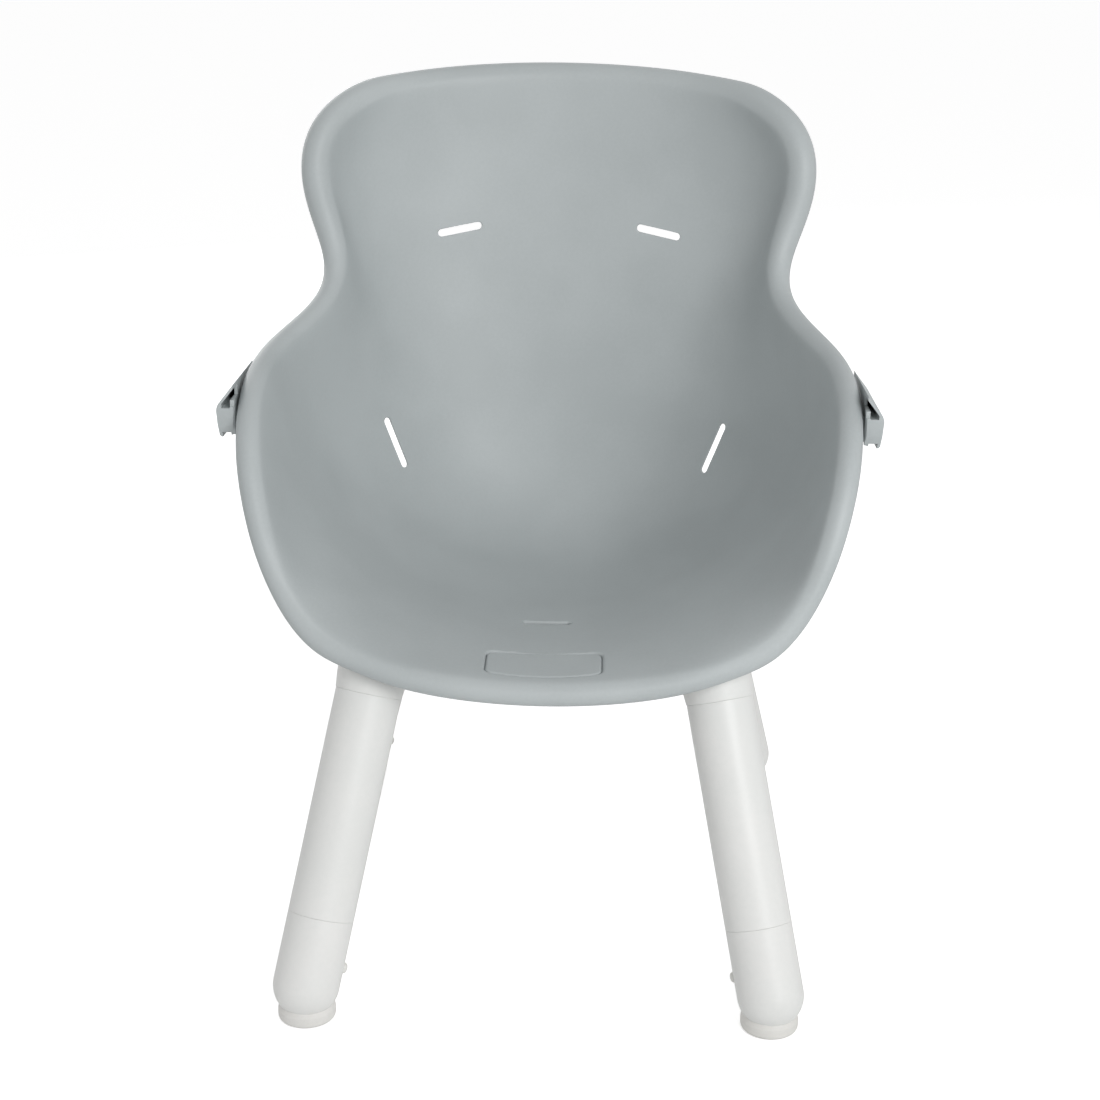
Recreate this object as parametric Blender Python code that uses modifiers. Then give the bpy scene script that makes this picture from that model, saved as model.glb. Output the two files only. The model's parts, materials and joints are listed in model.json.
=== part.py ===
"""Child's high chair: a one-piece bucket seat on a base with four splayed plug-in legs.

Metres, +Z up. The chair faces -Y, stands on z = 0 and is symmetric about the plane x = 0.
The origin lies on the floor, midway between the four feet.
"""

import math

import bmesh
import bpy
from mathutils import Matrix, Vector
from mathutils.bvhtree import BVHTree

# Seat shell: the inner surface, before its rim rolls outwards
seat_front = -0.1805
seat_height = 0.237
shell_reach = 0.380
shell_rise = 0.370
shell_half_width = 0.200
shell_wall = 0.0035
roll_radius_low = 0.0095
roll_radius_high = 0.0125
roll_skirt = 0.0058

# Each station is one cross-section, from the front lip over the pan and up the back: where it starts
# on the middle line (along, up), where it ends at the rim (out, along, up) and its turn in degrees
station_shares = (
    (0.000, 0.007, 0.742, 0.033, 0.072, 65),
    (0.067, 0.013, 0.842, 0.051, 0.130, 72),
    (0.159, 0.016, 0.900, 0.080, 0.211, 80),
    (0.264, 0.012, 0.942, 0.117, 0.292, 86),
    (0.383, 0.005, 0.977, 0.167, 0.378, 90),
    (0.501, 0.000, 0.994, 0.251, 0.446, 90),
    (0.620, 0.001, 1.000, 0.362, 0.485, 90),
    (0.728, 0.019, 0.972, 0.475, 0.508, 90),
    (0.812, 0.063, 0.878, 0.580, 0.538, 90),
    (0.864, 0.143, 0.805, 0.672, 0.581, 90),
    (0.896, 0.265, 0.790, 0.728, 0.644, 90),
    (0.928, 0.414, 0.820, 0.751, 0.711, 90),
    (0.957, 0.563, 0.861, 0.759, 0.779, 90),
    (0.980, 0.711, 0.878, 0.759, 0.846, 90),
    (0.997, 0.859, 0.846, 0.786, 0.911, 85),
    (1.000, 1.000, 0.712, 0.864, 0.960, 62),
)
arm_station = 9
head_station = 13
section_columns = 5
roll_turns = (60, 120, 180)

# Harness slots, end to end, and where their middles lie
slot_width = 0.006
shoulder_slot_length = 0.036
shoulder_slot_x = 0.0795
shoulder_slot_z = 0.4875
shoulder_slot_tilt = 10.8
waist_slot_length = 0.042
waist_slot_x = 0.1255
waist_slot_z = 0.329
waist_slot_tilt = 71
crotch_slot_length = 0.034
crotch_slot_y = -0.071
slot_corner_segments = 3

# Cover over the front post socket
cover_width = 0.080
cover_rear_y = -0.136
cover_depth = 0.033
cover_crown = 0.004
cover_corner = 0.007
crown_steps = 7
cover_thickness = 0.002
cover_gap = 0.0005
ledge_width = 0.003
ledge_thickness = 0.0022
socket_wall = 0.002
socket_depth = 0.013
clip_depth = 0.009
clip_wall = 0.0016

# Legs: where their ball ends stand, how far each leaves the upright per unit of height, and lengths
# along the leg
front_foot_x = 0.1595
front_foot_y = -0.2085
front_lean_in = 0.202
front_lean_back = 0.362
rear_foot_x = 0.1680
rear_foot_y = 0.2085
rear_lean_in = 0.247
rear_lean_front = 0.405
leg_length = 0.2043
lower_leg_length = 0.048
leg_radius = 0.023
leg_wall = 0.003
leg_segments = 20
joint_gap = 0.0003
spigot_wall = 0.003
upper_spigot_length = 0.055
lower_spigot_length = 0.045
spigot_end_room = 0.004
ball_steps = 4

# Feet
foot_height = 0.0113
foot_radius = 0.0199
neck_radius = 0.0186
foot_edge = 0.0034
peg_radius = 0.006
peg_height = 0.008

# Snap buttons and their leaf springs
button_from_joint = 0.033
button_radius = 0.004
button_hole_gap = 0.0003
button_proud = 0.0025
button_dome = 0.0016
button_flange_radius = 0.006
button_flange_thickness = 0.0015
button_segments = 12
upper_button_turn = 180
lower_button_turn = 100
spring_thickness = 0.0008
spring_width = 0.007
spring_length = 0.022
spring_tail = 0.005
spring_bend_radius = 0.0024
spring_bend_steps = 4

# Seat base under the shell
base_half_width = 0.108
base_front_y = -0.128
base_rear_y = 0.118
base_bottom = 0.2135
base_plate = 0.003
base_wall = 0.003
base_top_share = 0.19
base_corner = 0.020
base_corner_steps = 4
base_rib = 0.0022
base_rib_x = 0.034
base_rib_y_shares = (0.20, 0.52, 0.80)
strap_window_length = 0.056
strap_window_width = 0.024
collar_step = 0.0010
collar_flare_step = 0.0022
collar_flare_height = 0.010
collar_top_step = 0.0045
front_collar_height = 0.055
rear_collar_height = 0.088
collar_round = 0.012
collar_round_steps = 2
collar_wall = 0.003
seat_gap = 0.0003

# Screws that hold the base to the shell's bosses
base_screw_x = 0.072
base_screw_y_shares = (0.10, 0.46, 0.86)
screw_radius = 0.002
screw_head_radius = 0.004
screw_head_height = 0.0024
screw_point_share = 0.5
screw_crown_share = 0.7
screw_end_room = 0.0012
base_screw_length = 0.016
screw_segments = 10
boss_radius = 0.006
boss_segments = 12

# Tray brackets outside the arms
bracket_tuck = 0.0003
bracket_width = 0.0118
bracket_height = 0.0385
bracket_top_share = 0.4892
bracket_front_share = 0.2487
bracket_length = 0.084
bracket_skin = 0.0018
bracket_nose_wall = 0.0036
bracket_side_wall = 0.0029
bracket_plate = 0.0022
bracket_roof_angle = 52
bracket_nose_radius = 0.0100
bracket_nose_share = 0.49
bracket_tip_share = 0.70
bracket_tip_radius = 0.0022
bracket_web_share = 0.55
bracket_web_thickness = 0.0022
bracket_front_wall = 0.0025
bracket_chamfer_height = 0.0095
bracket_chamfer_depth = 0.004
bracket_rib_setback = 0.0015
bracket_rib_length = 0.008
bracket_rib_width = 0.0024
bracket_rib_height = 0.0045
bracket_arc_steps = 4
pad_height = 0.016
pad_length = 0.054
bracket_screw_spacing = 0.034
bracket_screw_length = 0.012
bracket_screw_up_share = 0.30
access_gap = 0.0006

# Inside the bucket: a point that sees all of its inner face, as shares of the shell's reach and rise
seat_middle_share = (0.21, 0.71)

# Every cut runs this far past what it cuts, and shapes that are joined lap by this much
overrun = 0.010
lap = 0.001
weld = 0.00001

GREY_PLASTIC = ("grey_polypropylene", 0xAEB5B8, 0.50, 0.0)
WHITE_PLASTIC = ("white_polypropylene", 0xE4E5E4, 0.42, 0.0)
BUTTON_PLASTIC = ("white_button_nylon", 0xDADBD9, 0.40, 0.0)
FOOT_PLASTIC = ("white_foot_elastomer", 0xDEDFDD, 0.60, 0.0)
SPRING_STEEL = ("spring_steel", 0x9A9C9E, 0.32, 1.0)
SCREW_STEEL = ("zinc_plated_steel", 0xB4B6B8, 0.35, 1.0)


def clear_scene():
    for old in list(bpy.data.objects):
        bpy.data.objects.remove(old, do_unlink=True)


def new_collection(name):
    collection = bpy.data.collections.new(name)
    bpy.context.scene.collection.children.link(collection)
    return collection


clear_scene()
parts = new_collection("high_chair")
cutters = new_collection("cutters")


def linear(channel):
    """One sRGB channel, 0 to 255, as linear light."""
    value = channel / 255
    return value / 12.92 if value <= 0.04045 else ((value + 0.055) / 1.055) ** 2.4


def material(recipe):
    name, colour, roughness, metallic = recipe
    found = bpy.data.materials.get(name)
    if found:
        return found
    made = bpy.data.materials.new(name)
    made.use_nodes = True
    shader = made.node_tree.nodes["Principled BSDF"]
    channels = [linear(colour >> shift & 255) for shift in (16, 8, 0)]
    shader.inputs["Base Color"].default_value = (*channels, 1)
    shader.inputs["Roughness"].default_value = roughness
    shader.inputs["Metallic"].default_value = metallic
    return made


def as_part(obj, recipe):
    """Puts an object among the parts, with its material."""
    parts.objects.link(obj)
    obj.data.materials.append(material(recipe))
    return obj


def as_cutter(obj):
    """Puts an object among the shapes that only cut or join others."""
    cutters.objects.link(obj)
    obj.hide_render = True
    obj.display_type = "WIRE"
    return obj


def object_from(bm, name):
    mesh = bpy.data.meshes.new(name)
    bm.to_mesh(mesh)
    bm.free()
    return bpy.data.objects.new(name, mesh)


def boolean(target, other, operation="DIFFERENCE", solver="EXACT"):
    modifier = target.modifiers.new(f"{operation} {other.name}".lower(), "BOOLEAN")
    modifier.operation = operation
    modifier.object = other
    modifier.solver = solver


def evaluated_mesh(obj):
    """The mesh that an object's modifiers make."""
    bpy.context.view_layer.update()
    graph = bpy.context.evaluated_depsgraph_get()
    return bpy.data.meshes.new_from_object(obj.evaluated_get(graph))


def cylinder(name, radius, bottom, top, segments):
    """A cylinder round the local Z axis, from one height to another."""
    bm = bmesh.new()
    bmesh.ops.create_cone(
        bm, cap_ends=True, segments=segments, radius1=radius, radius2=radius, depth=top - bottom
    )
    bmesh.ops.translate(bm, vec=(0, 0, (top + bottom) / 2), verts=bm.verts)
    return object_from(bm, name)


def block(name, low, high, corner=0, steps=3):
    """A box between two corners, its upright edges rounded."""
    low, high = Vector(low), Vector(high)
    bm = bmesh.new()
    bmesh.ops.create_cube(bm, size=1)
    bmesh.ops.scale(bm, vec=high - low, verts=bm.verts)
    bmesh.ops.translate(bm, vec=(low + high) / 2, verts=bm.verts)
    if corner:
        upright = [
            edge for edge in bm.edges
            if (edge.verts[0].co - edge.verts[1].co).xy.length < weld
        ]
        bmesh.ops.bevel(bm, geom=upright, offset=corner, segments=steps, profile=0.5, affect="EDGES")
    return object_from(bm, name)


def turned(name, profile, segments):
    """A profile of (radius, height) turned about the local Z axis. It closes if it ends where it starts."""
    closed = profile[0] == profile[-1]
    points = profile[:-1] if closed else profile
    bm = bmesh.new()
    ring = [bm.verts.new((radius, 0, height)) for radius, height in points]
    for first, second in zip(ring, ring[1:]):
        bm.edges.new((first, second))
    if closed:
        bm.edges.new((ring[-1], ring[0]))
    obj = object_from(bm, name)
    screw = obj.modifiers.new("turn", "SCREW")
    screw.steps = segments
    screw.render_steps = segments
    screw.use_merge_vertices = True
    screw.merge_threshold = weld
    return obj


def extruded(name, outlines, thickness):
    """Flat outlines in the local XY plane, the later ones holes in the first, thickened about z = 0."""
    curve = bpy.data.curves.new(name, "CURVE")
    curve.dimensions = "2D"
    curve.fill_mode = "BOTH"
    curve.extrude = thickness / 2
    for outline in outlines:
        spline = curve.splines.new("POLY")
        spline.points.add(len(outline) - 1)
        for point, (x, y) in zip(spline.points, outline):
            point.co = (x, y, 0, 1)
        spline.use_cyclic_u = True
    holder = bpy.data.objects.new(name + "_outline", curve)
    bpy.context.scene.collection.objects.link(holder)
    bm = bmesh.new()
    bm.from_mesh(evaluated_mesh(holder))
    bmesh.ops.remove_doubles(bm, verts=bm.verts, dist=weld)
    bpy.data.objects.remove(holder, do_unlink=True)
    return object_from(bm, name)


def arc(centre, radius, start, end, steps):
    """Points of an arc, its angles in degrees, both ends included."""
    angles = [math.radians(start + (end - start) * i / steps) for i in range(steps + 1)]
    return [
        (centre[0] + radius * math.cos(a), centre[1] + radius * math.sin(a)) for a in angles
    ]


def mirrored(place):
    """Both sides: a name's ending and the place on that side. Left is the sitter's left, +X."""
    x, y, z = place
    return (("left", Vector((x, y, z))), ("right", Vector((-x, y, z))))


# Seat shell


def section_points():
    """The seat's inner surface, x >= 0, as rows of points, each a station from the middle to the rim."""
    rows = []
    for along, up, rim_out, rim_along, rim_up, turn_degrees in station_shares:
        start = Vector((0, seat_front + along * shell_reach, seat_height + up * shell_rise))
        rim = Vector(
            (
                rim_out * shell_half_width,
                seat_front + rim_along * shell_reach,
                seat_height + rim_up * shell_rise,
            )
        )
        turn = math.radians(turn_degrees)
        row = []
        for column in range(section_columns + 1):
            angle = turn * column / section_columns
            out = math.sin(angle) / math.sin(turn)
            lift = (1 - math.cos(angle)) / (1 - math.cos(turn))
            point = start.lerp(rim, lift)
            point.x = rim.x * out
            row.append(point)
        rows.append(row)
    return rows


def rim_with_neighbours(rows):
    """The rim from the middle of the lip round to the middle of the top, each point with its inner one."""
    last = section_columns
    front = [(rows[0][i], rows[1][i]) for i in range(last)]
    corner = [(rows[0][last], rows[1][last - 1])]
    side = [(rows[j][last], rows[j][last - 1]) for j in range(1, len(rows) - 1)]
    top_corner = [(rows[-1][last], rows[-2][last - 1])]
    top = [(rows[-1][i], rows[-2][i]) for i in reversed(range(last))]
    return front + corner + side + top_corner + top


def roll_radius(height):
    """The rim's roll grows from the arms to the head."""
    low = seat_height + station_shares[arm_station][4] * shell_rise
    high = seat_height + station_shares[head_station][4] * shell_rise
    share = min(1, max(0, (height - low) / (high - low)))
    return roll_radius_low + (roll_radius_high - roll_radius_low) * share * share * (3 - 2 * share)


def roll_points(rows, skirt):
    """For each rim point, the ring points of the roll: up over the rim, outwards, and down its skirt."""
    rim = rim_with_neighbours(rows)
    band = []
    for index, (point, inside) in enumerate(rim):
        if index in (0, len(rim) - 1):
            along = Vector((1 if index == 0 else -1, 0, 0))
        else:
            along = (rim[index + 1][0] - rim[index - 1][0]).normalized()
        wall = point - inside
        wall = (wall - wall.dot(along) * along).normalized()
        outward = along.cross(wall)
        radius = roll_radius(point.z)
        ring = [point.copy()]
        for degrees in roll_turns:
            turn = math.radians(degrees)
            ring.append(point + radius * (math.sin(turn) * wall + (1 - math.cos(turn)) * outward))
        ring.append(ring[-1] - skirt * wall)
        band.append(ring)
    return band


def add_grid(bm, rows, tag):
    """A grid of faces through rows of points, its faces marked with a material slot."""
    made = bmesh.ops.create_grid(bm, x_segments=len(rows[0]) - 1, y_segments=len(rows) - 1, size=1)
    for vert, point in zip(made["verts"], (point for row in rows for point in row)):
        vert.co = point
    for face in {face for vert in made["verts"] for face in vert.link_faces}:
        face.material_index = tag


def shell_cage(name, skirt):
    """Half of the seat as an open cage: the dished field in slot 0 and the rolled rim in slot 1."""
    rows = section_points()
    bm = bmesh.new()
    add_grid(bm, rows, 0)
    add_grid(bm, roll_points(rows, skirt), 1)
    bmesh.ops.remove_doubles(bm, verts=bm.verts, dist=weld)
    obj = object_from(bm, name)
    for _ in range(2):
        obj.data.materials.append(material(GREY_PLASTIC))
    mirror = obj.modifiers.new("other half", "MIRROR")
    mirror.merge_threshold = weld
    smooth = obj.modifiers.new("smooth", "SUBSURF")
    smooth.levels = 1
    smooth.render_levels = 1
    return obj


def field_of(cage):
    """The dished field alone, without the roll, as the smoothed cage has it."""
    bm = bmesh.new()
    bm.from_mesh(evaluated_mesh(cage))
    roll = [face for face in bm.faces if face.material_index == 1]
    bmesh.ops.delete(bm, geom=roll, context="FACES")
    for face in bm.faces:
        face.material_index = 0
    return bm


def thicken(surface, above, below):
    """Makes a surface of the seat a solid skin, from above it to below it."""
    skin = surface.modifiers.new("skin", "SOLIDIFY")
    skin.thickness = above + below
    skin.offset = (above - below) / (above + below)
    return surface


def layer(name, field, above, below):
    """A solid skin that follows the seat's inner face."""
    return thicken(bpy.data.objects.new(name, field.copy()), above, below)


def seat_room(name, field, depth):
    """The inside of the bucket, down to a depth below its inner face, which is closed to a point above."""
    bm = bmesh.new()
    bm.from_mesh(field)
    bm.normal_update()
    for vert, shift in [(vert, -depth * vert.normal) for vert in bm.verts]:
        vert.co += shift
    rim = [edge for edge in bm.edges if edge.is_boundary]
    closed = bmesh.ops.extrude_edge_only(bm, edges=rim)["geom"]
    apex = [item for item in closed if isinstance(item, bmesh.types.BMVert)]
    along, up = seat_middle_share
    middle = Vector((0, seat_front + along * shell_reach, seat_height + up * shell_rise))
    bmesh.ops.pointmerge(bm, verts=apex, merge_co=middle)
    bmesh.ops.recalc_face_normals(bm, faces=bm.faces)
    return as_cutter(object_from(bm, name))


def placed(place, z_axis, x_axis):
    """A placement with its local Z and X along two directions that are square to each other."""
    frame = Matrix((x_axis, z_axis.cross(x_axis), z_axis)).transposed().to_4x4()
    frame.translation = place
    return frame


def cut_slot(shell, name, length, frame):
    """A round-ended slot through the shell wall."""
    half = Vector((length / 2, slot_width / 2, overrun))
    cutter = as_cutter(block(name, -half, half, slot_width / 2 - weld * 2, slot_corner_segments))
    cutter.matrix_world = frame
    boolean(shell, cutter)


def cut_harness_slots(shell, tree):
    """Two shoulder slots and two waist slots in the back, and one crotch slot in the pan."""
    back_slots = (
        ("shoulder", shoulder_slot_length, shoulder_slot_x, shoulder_slot_z, -shoulder_slot_tilt),
        ("waist", waist_slot_length, waist_slot_x, waist_slot_z, waist_slot_tilt),
    )
    for label, length, x, z, tilt in back_slots:
        angle = math.radians(tilt)
        for side, place in mirrored((x, seat_front, z)):
            hit, normal, _, _ = tree.ray_cast(place, Vector((0, 1, 0)))
            direction = Vector((math.copysign(math.cos(angle), place.x), 0, math.sin(angle)))
            draw = (normal + Vector((0, -1, 0))).normalized()
            along = (direction - direction.dot(draw) * draw).normalized()
            cut_slot(shell, f"{label}_slot_{side}", length, placed(hit, draw, along))
    down = Vector((0, 0, -1))
    hit, _, _, _ = tree.ray_cast(Vector((0, crotch_slot_y, seat_height + shell_rise)), down)
    cut_slot(shell, "crotch_slot", crotch_slot_length, placed(hit, -down, Vector((1, 0, 0))))


def cover_outline(inset):
    """The cover's outline in plan: straight at the rear, crowned at the front, drawn in by an inset."""
    half = cover_width / 2 - inset
    corner = cover_corner - inset
    rear = cover_rear_y - inset
    front = cover_rear_y - cover_depth + inset
    bow = cover_crown
    crown_radius = (half * half + bow * bow) / (2 * bow)
    crown_angle = math.degrees(math.asin((half - corner) / crown_radius))
    crown_centre = (0, front - bow + crown_radius)
    lower = arc(crown_centre, crown_radius, -90 - crown_angle, -90 + crown_angle, crown_steps)
    side_y = lower[-1][1] + corner
    return (
        lower
        + arc((half - corner, side_y), corner, -60, 0, 3)
        + arc((half - corner, rear - corner), corner, 0, 90, 4)
        + arc((-half + corner, rear - corner), corner, 90, 180, 4)
        + arc((-half + corner, side_y), corner, 180, 240, 3)
    )


def cover_prism(name, insets):
    """An upright prism, or a tube, through the cover's place."""
    prism = extruded(name, [cover_outline(inset) for inset in insets], shell_rise / 3)
    prism.location.z = seat_height
    return as_cutter(prism)


def make_post_socket(shell, field):
    """The opening for the front post: a hole with a ledge for the cover and a short wall below it."""
    boolean(shell, cover_prism("post_opening", (0,)))
    ledge_from = cover_thickness + joint_gap
    ledge = as_cutter(layer("post_ledge", field, -ledge_from, ledge_from + ledge_thickness))
    boolean(ledge, cover_prism("post_ledge_ring", (-socket_wall, ledge_width)), "INTERSECT")
    boolean(shell, ledge, "UNION")
    wall = as_cutter(layer("post_wall", field, -ledge_from - lap / 2, socket_depth))
    boolean(wall, cover_prism("post_wall_ring", (-socket_wall + lap / 4, lap / 4)), "INTERSECT")
    boolean(shell, wall, "UNION")


def make_cover(field):
    """The flush cover over the post socket, with a clip skirt that goes down through the ledge."""
    cover = layer("crotch_socket_cover", field, 0, cover_thickness)
    as_part(cover, GREY_PLASTIC)
    boolean(cover, cover_prism("cover_edge", (cover_gap,)), "INTERSECT")
    skirt_inset = ledge_width + joint_gap
    skirt = as_cutter(layer("cover_skirt", field, -lap, clip_depth))
    boolean(skirt, cover_prism("cover_skirt_ring", (skirt_inset, skirt_inset + clip_wall)), "INTERSECT")
    boolean(cover, skirt, "UNION", "MANIFOLD")
    return cover


def base_screw_places():
    """Where the base's screws stand, in plan."""
    depth = base_rear_y - base_front_y
    return [
        (f"{label}_{side}", place)
        for label, share in zip(("front", "middle", "rear"), base_screw_y_shares)
        for side, place in mirrored((base_screw_x, base_front_y + share * depth, 0))
    ]


def grow_from_wall(shell, wall_middle, shape):
    """Joins a shape to the shell, its root ending half way into the wall."""
    boolean(as_cutter(shape), wall_middle)
    boolean(shell, shape, "UNION")


def add_base_bosses(shell, wall_middle):
    """Screw bosses under the pan, down to the base's floor."""
    foot = base_bottom + base_plate + seat_gap
    top = seat_height + base_top_share * shell_rise
    for label, place in base_screw_places():
        boss = cylinder(f"boss_{label}", boss_radius, foot, top, boss_segments)
        boss.location = place
        grow_from_wall(shell, wall_middle, boss)
        hole = as_cutter(
            cylinder(
                f"boss_hole_{label}",
                screw_radius + joint_gap,
                foot - overrun,
                base_bottom + base_screw_length,
                screw_segments,
            )
        )
        hole.location = place
        boolean(shell, hole)


def bracket_top():
    """The brackets' upper edge, just under the arms' rolled rim."""
    return seat_height + bracket_top_share * shell_rise


def bracket_middle():
    """The middle of the line of screws on a bracket's plate, on its inner face, on the +X side."""
    inner = shell_half_width + 2 * roll_radius_low - bracket_tuck
    front = seat_front + bracket_front_share * shell_reach
    up = bracket_top() - (1 - bracket_screw_up_share) * bracket_height
    return Vector((inner, front + bracket_length / 2, up))


def bracket_screw_places():
    """The bracket screws' places on the plate, for each side."""
    middle = bracket_middle()
    return [
        (f"{label}_{side}", place)
        for label, offset in (("front", -0.5), ("rear", 0.5))
        for side, place in mirrored(middle + Vector((0, offset * bracket_screw_spacing, 0)))
    ]


def add_bracket_pads(shell, wall_middle):
    """Flat pads under the rolled rim outside the arms, which carry the tray brackets."""
    middle = bracket_middle()
    face = middle.x - seat_gap
    inner = shell_half_width / 2
    for side, place in mirrored(middle):
        outer = math.copysign(face, place.x)
        root = math.copysign(inner, place.x)
        low = (min(outer, root), place.y - pad_length / 2, place.z - pad_height / 2)
        high = (max(outer, root), place.y + pad_length / 2, place.z + pad_height / 2)
        grow_from_wall(shell, wall_middle, block(f"pad_{side}", low, high))
    for label, place in bracket_screw_places():
        hole = as_cutter(
            cylinder(
                f"pad_hole_{label}",
                screw_radius + joint_gap,
                -bracket_screw_length,
                overrun,
                screw_segments,
            )
        )
        hole.location = place
        hole.rotation_euler.y = math.copysign(math.pi / 2, place.x)
        boolean(shell, hole)


def make_seat():
    """The seat shell and its cover. Returns the solid that the base's top ends below."""
    shell = shell_cage("seat_shell", roll_skirt)
    parts.objects.link(shell)
    bm = field_of(shell)
    tree = BVHTree.FromBMesh(bm)
    field = bpy.data.meshes.new("seat_field")
    bm.to_mesh(field)
    bm.free()
    thicken(shell, 0, shell_wall)
    wall_middle = seat_room("wall_middle", field, shell_wall / 2)
    add_bracket_pads(shell, wall_middle)
    add_base_bosses(shell, wall_middle)
    make_post_socket(shell, field)
    cut_harness_slots(shell, tree)
    shell.data.shade_smooth()
    make_cover(field)
    return wall_middle


# Legs


def ball_height():
    """How far the ball's centre lies above the foot, so that their faces meet at the neck."""
    return math.sqrt(leg_radius**2 - neck_radius**2)


def leg_frames():
    """Each leg's name, its ball's centre, and its frame: origin at the collar, local Z up along the leg."""
    corners = (
        ("front", front_foot_x, front_foot_y, front_lean_in, front_lean_back),
        ("rear", rear_foot_x, rear_foot_y, rear_lean_in, -rear_lean_front),
    )
    frames = []
    for label, x, y, lean_in, lean_back in corners:
        for side, foot in mirrored((x, y, foot_height + ball_height())):
            up = Vector((-math.copysign(lean_in, foot.x), lean_back, 1)).normalized()
            inward = Vector((-math.copysign(1, foot.x), 0, 0))
            x_axis = (inward - inward.dot(up) * up).normalized()
            frames.append((f"{label}_{side}", foot, placed(foot + leg_length * up, up, x_axis)))
    return frames


def leg_empty(label, frame):
    """A leg's own frame, as an empty that carries its pieces."""
    empty = bpy.data.objects.new(f"leg_frame_{label}", None)
    parts.objects.link(empty)
    empty.matrix_world = frame
    return empty


def spigot_radius():
    return leg_radius - leg_wall - joint_gap


def bore_radius():
    return spigot_radius() - spigot_wall


def upper_leg_profile():
    """A tube with a wide bore at the top, for the base's spigot, and its own spigot at the lower end."""
    seam = -(leg_length - lower_leg_length)
    top = -joint_gap
    step = -upper_spigot_length - spigot_end_room
    end = seam - lower_spigot_length
    return [
        (leg_radius, top),
        (leg_radius, seam),
        (spigot_radius(), seam),
        (spigot_radius(), end),
        (bore_radius(), end),
        (bore_radius(), step - spigot_wall),
        (leg_radius - leg_wall, step),
        (leg_radius - leg_wall, top),
        (leg_radius, top),
    ]


def lower_leg_profile():
    """A sleeve that slides over the upper leg's spigot, and ends in a ball."""
    top = -(leg_length - lower_leg_length) - joint_gap
    floor = top - lower_spigot_length - spigot_end_room
    ball = arc((0, -leg_length), leg_radius, 0, -90, ball_steps)[:-1]
    return (
        [(0, floor), (leg_radius - leg_wall, floor), (leg_radius - leg_wall, top), (leg_radius, top)]
        + ball
        + [(0, -leg_length - leg_radius)]
    )


def foot_profile():
    """A round pad with a soft lower edge and a peg that goes up into the leg."""
    edge = arc((foot_radius - foot_edge, foot_edge), foot_edge, 0, -90, 3)
    return [
        (0, foot_height + peg_height),
        (peg_radius, foot_height + peg_height),
        (peg_radius, foot_height),
        (neck_radius, foot_height),
        (foot_radius, foot_height - foot_edge),
        *edge,
        (0, 0),
    ]


def button_seat():
    """How far from the leg's axis the button's flange lies, clear of the round bore."""
    return math.sqrt(bore_radius() ** 2 - button_flange_radius**2) - joint_gap


def button_profile():
    """A domed pin with a flange, its local Z along its travel, z = 0 on the leg's axis."""
    seat = button_seat()
    tip = leg_radius + button_proud
    return [
        (0, tip),
        (button_radius - button_dome, tip),
        (button_radius, tip - button_dome),
        (button_radius, seat),
        (button_flange_radius, seat),
        (button_flange_radius, seat - button_flange_thickness),
        (0, seat - button_flange_thickness),
    ]


def button_turn(empty, turn_degrees, foot, distance):
    """A placement below the collar, its local Z turned from the chair's end towards its middle."""
    turn = math.radians(turn_degrees - 90)
    middle = math.copysign(1, foot.x * foot.y)
    out = Vector((math.cos(turn), middle * math.sin(turn), 0))
    up = Vector((0, 0, 1))
    return empty.matrix_world @ placed(-distance * up, out, up)


def spring_strip():
    """A hairpin leaf spring: behind the button, up the bore, round, and back down the far wall."""
    leaf_half = spring_thickness / 2
    near = button_seat() - button_flange_thickness - joint_gap - leaf_half
    far = -math.sqrt(bore_radius() ** 2 - (spring_width / 2) ** 2) + joint_gap + leaf_half
    bend = arc((spring_length, 0), spring_bend_radius, 90, -90, spring_bend_steps)
    path = [(-spring_tail, near), (spring_tail, near), *bend, (spring_tail, far), (-spring_tail, far)]
    bm = bmesh.new()
    edge_row = [bm.verts.new((x, -spring_width / 2, z)) for x, z in path]
    edges = [bm.edges.new(pair) for pair in zip(edge_row, edge_row[1:])]
    swept = bmesh.ops.extrude_edge_only(bm, edges=edges)["geom"]
    moved = [item for item in swept if isinstance(item, bmesh.types.BMVert)]
    bmesh.ops.translate(bm, vec=(0, spring_width, 0), verts=moved)
    obj = object_from(bm, "leaf")
    leaf = obj.modifiers.new("leaf", "SOLIDIFY")
    leaf.thickness = spring_thickness
    leaf.offset = 0
    return obj


def button_hole(label, frame):
    hole = as_cutter(
        cylinder(
            f"button_hole_{label}",
            button_radius + button_hole_gap,
            0,
            leg_radius + overrun,
            button_segments,
        )
    )
    hole.matrix_world = frame
    return hole


def add_child(name, mesh_from, recipe, empty, frame=None):
    """A piece carried by a leg's frame, with the mesh and modifiers of another object."""
    obj = mesh_from.copy()
    obj.data = mesh_from.data.copy()
    obj.name = name
    obj.data.name = name
    as_part(obj, recipe)
    obj.parent = empty
    obj.matrix_world = frame if frame else empty.matrix_world
    return obj


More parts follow.
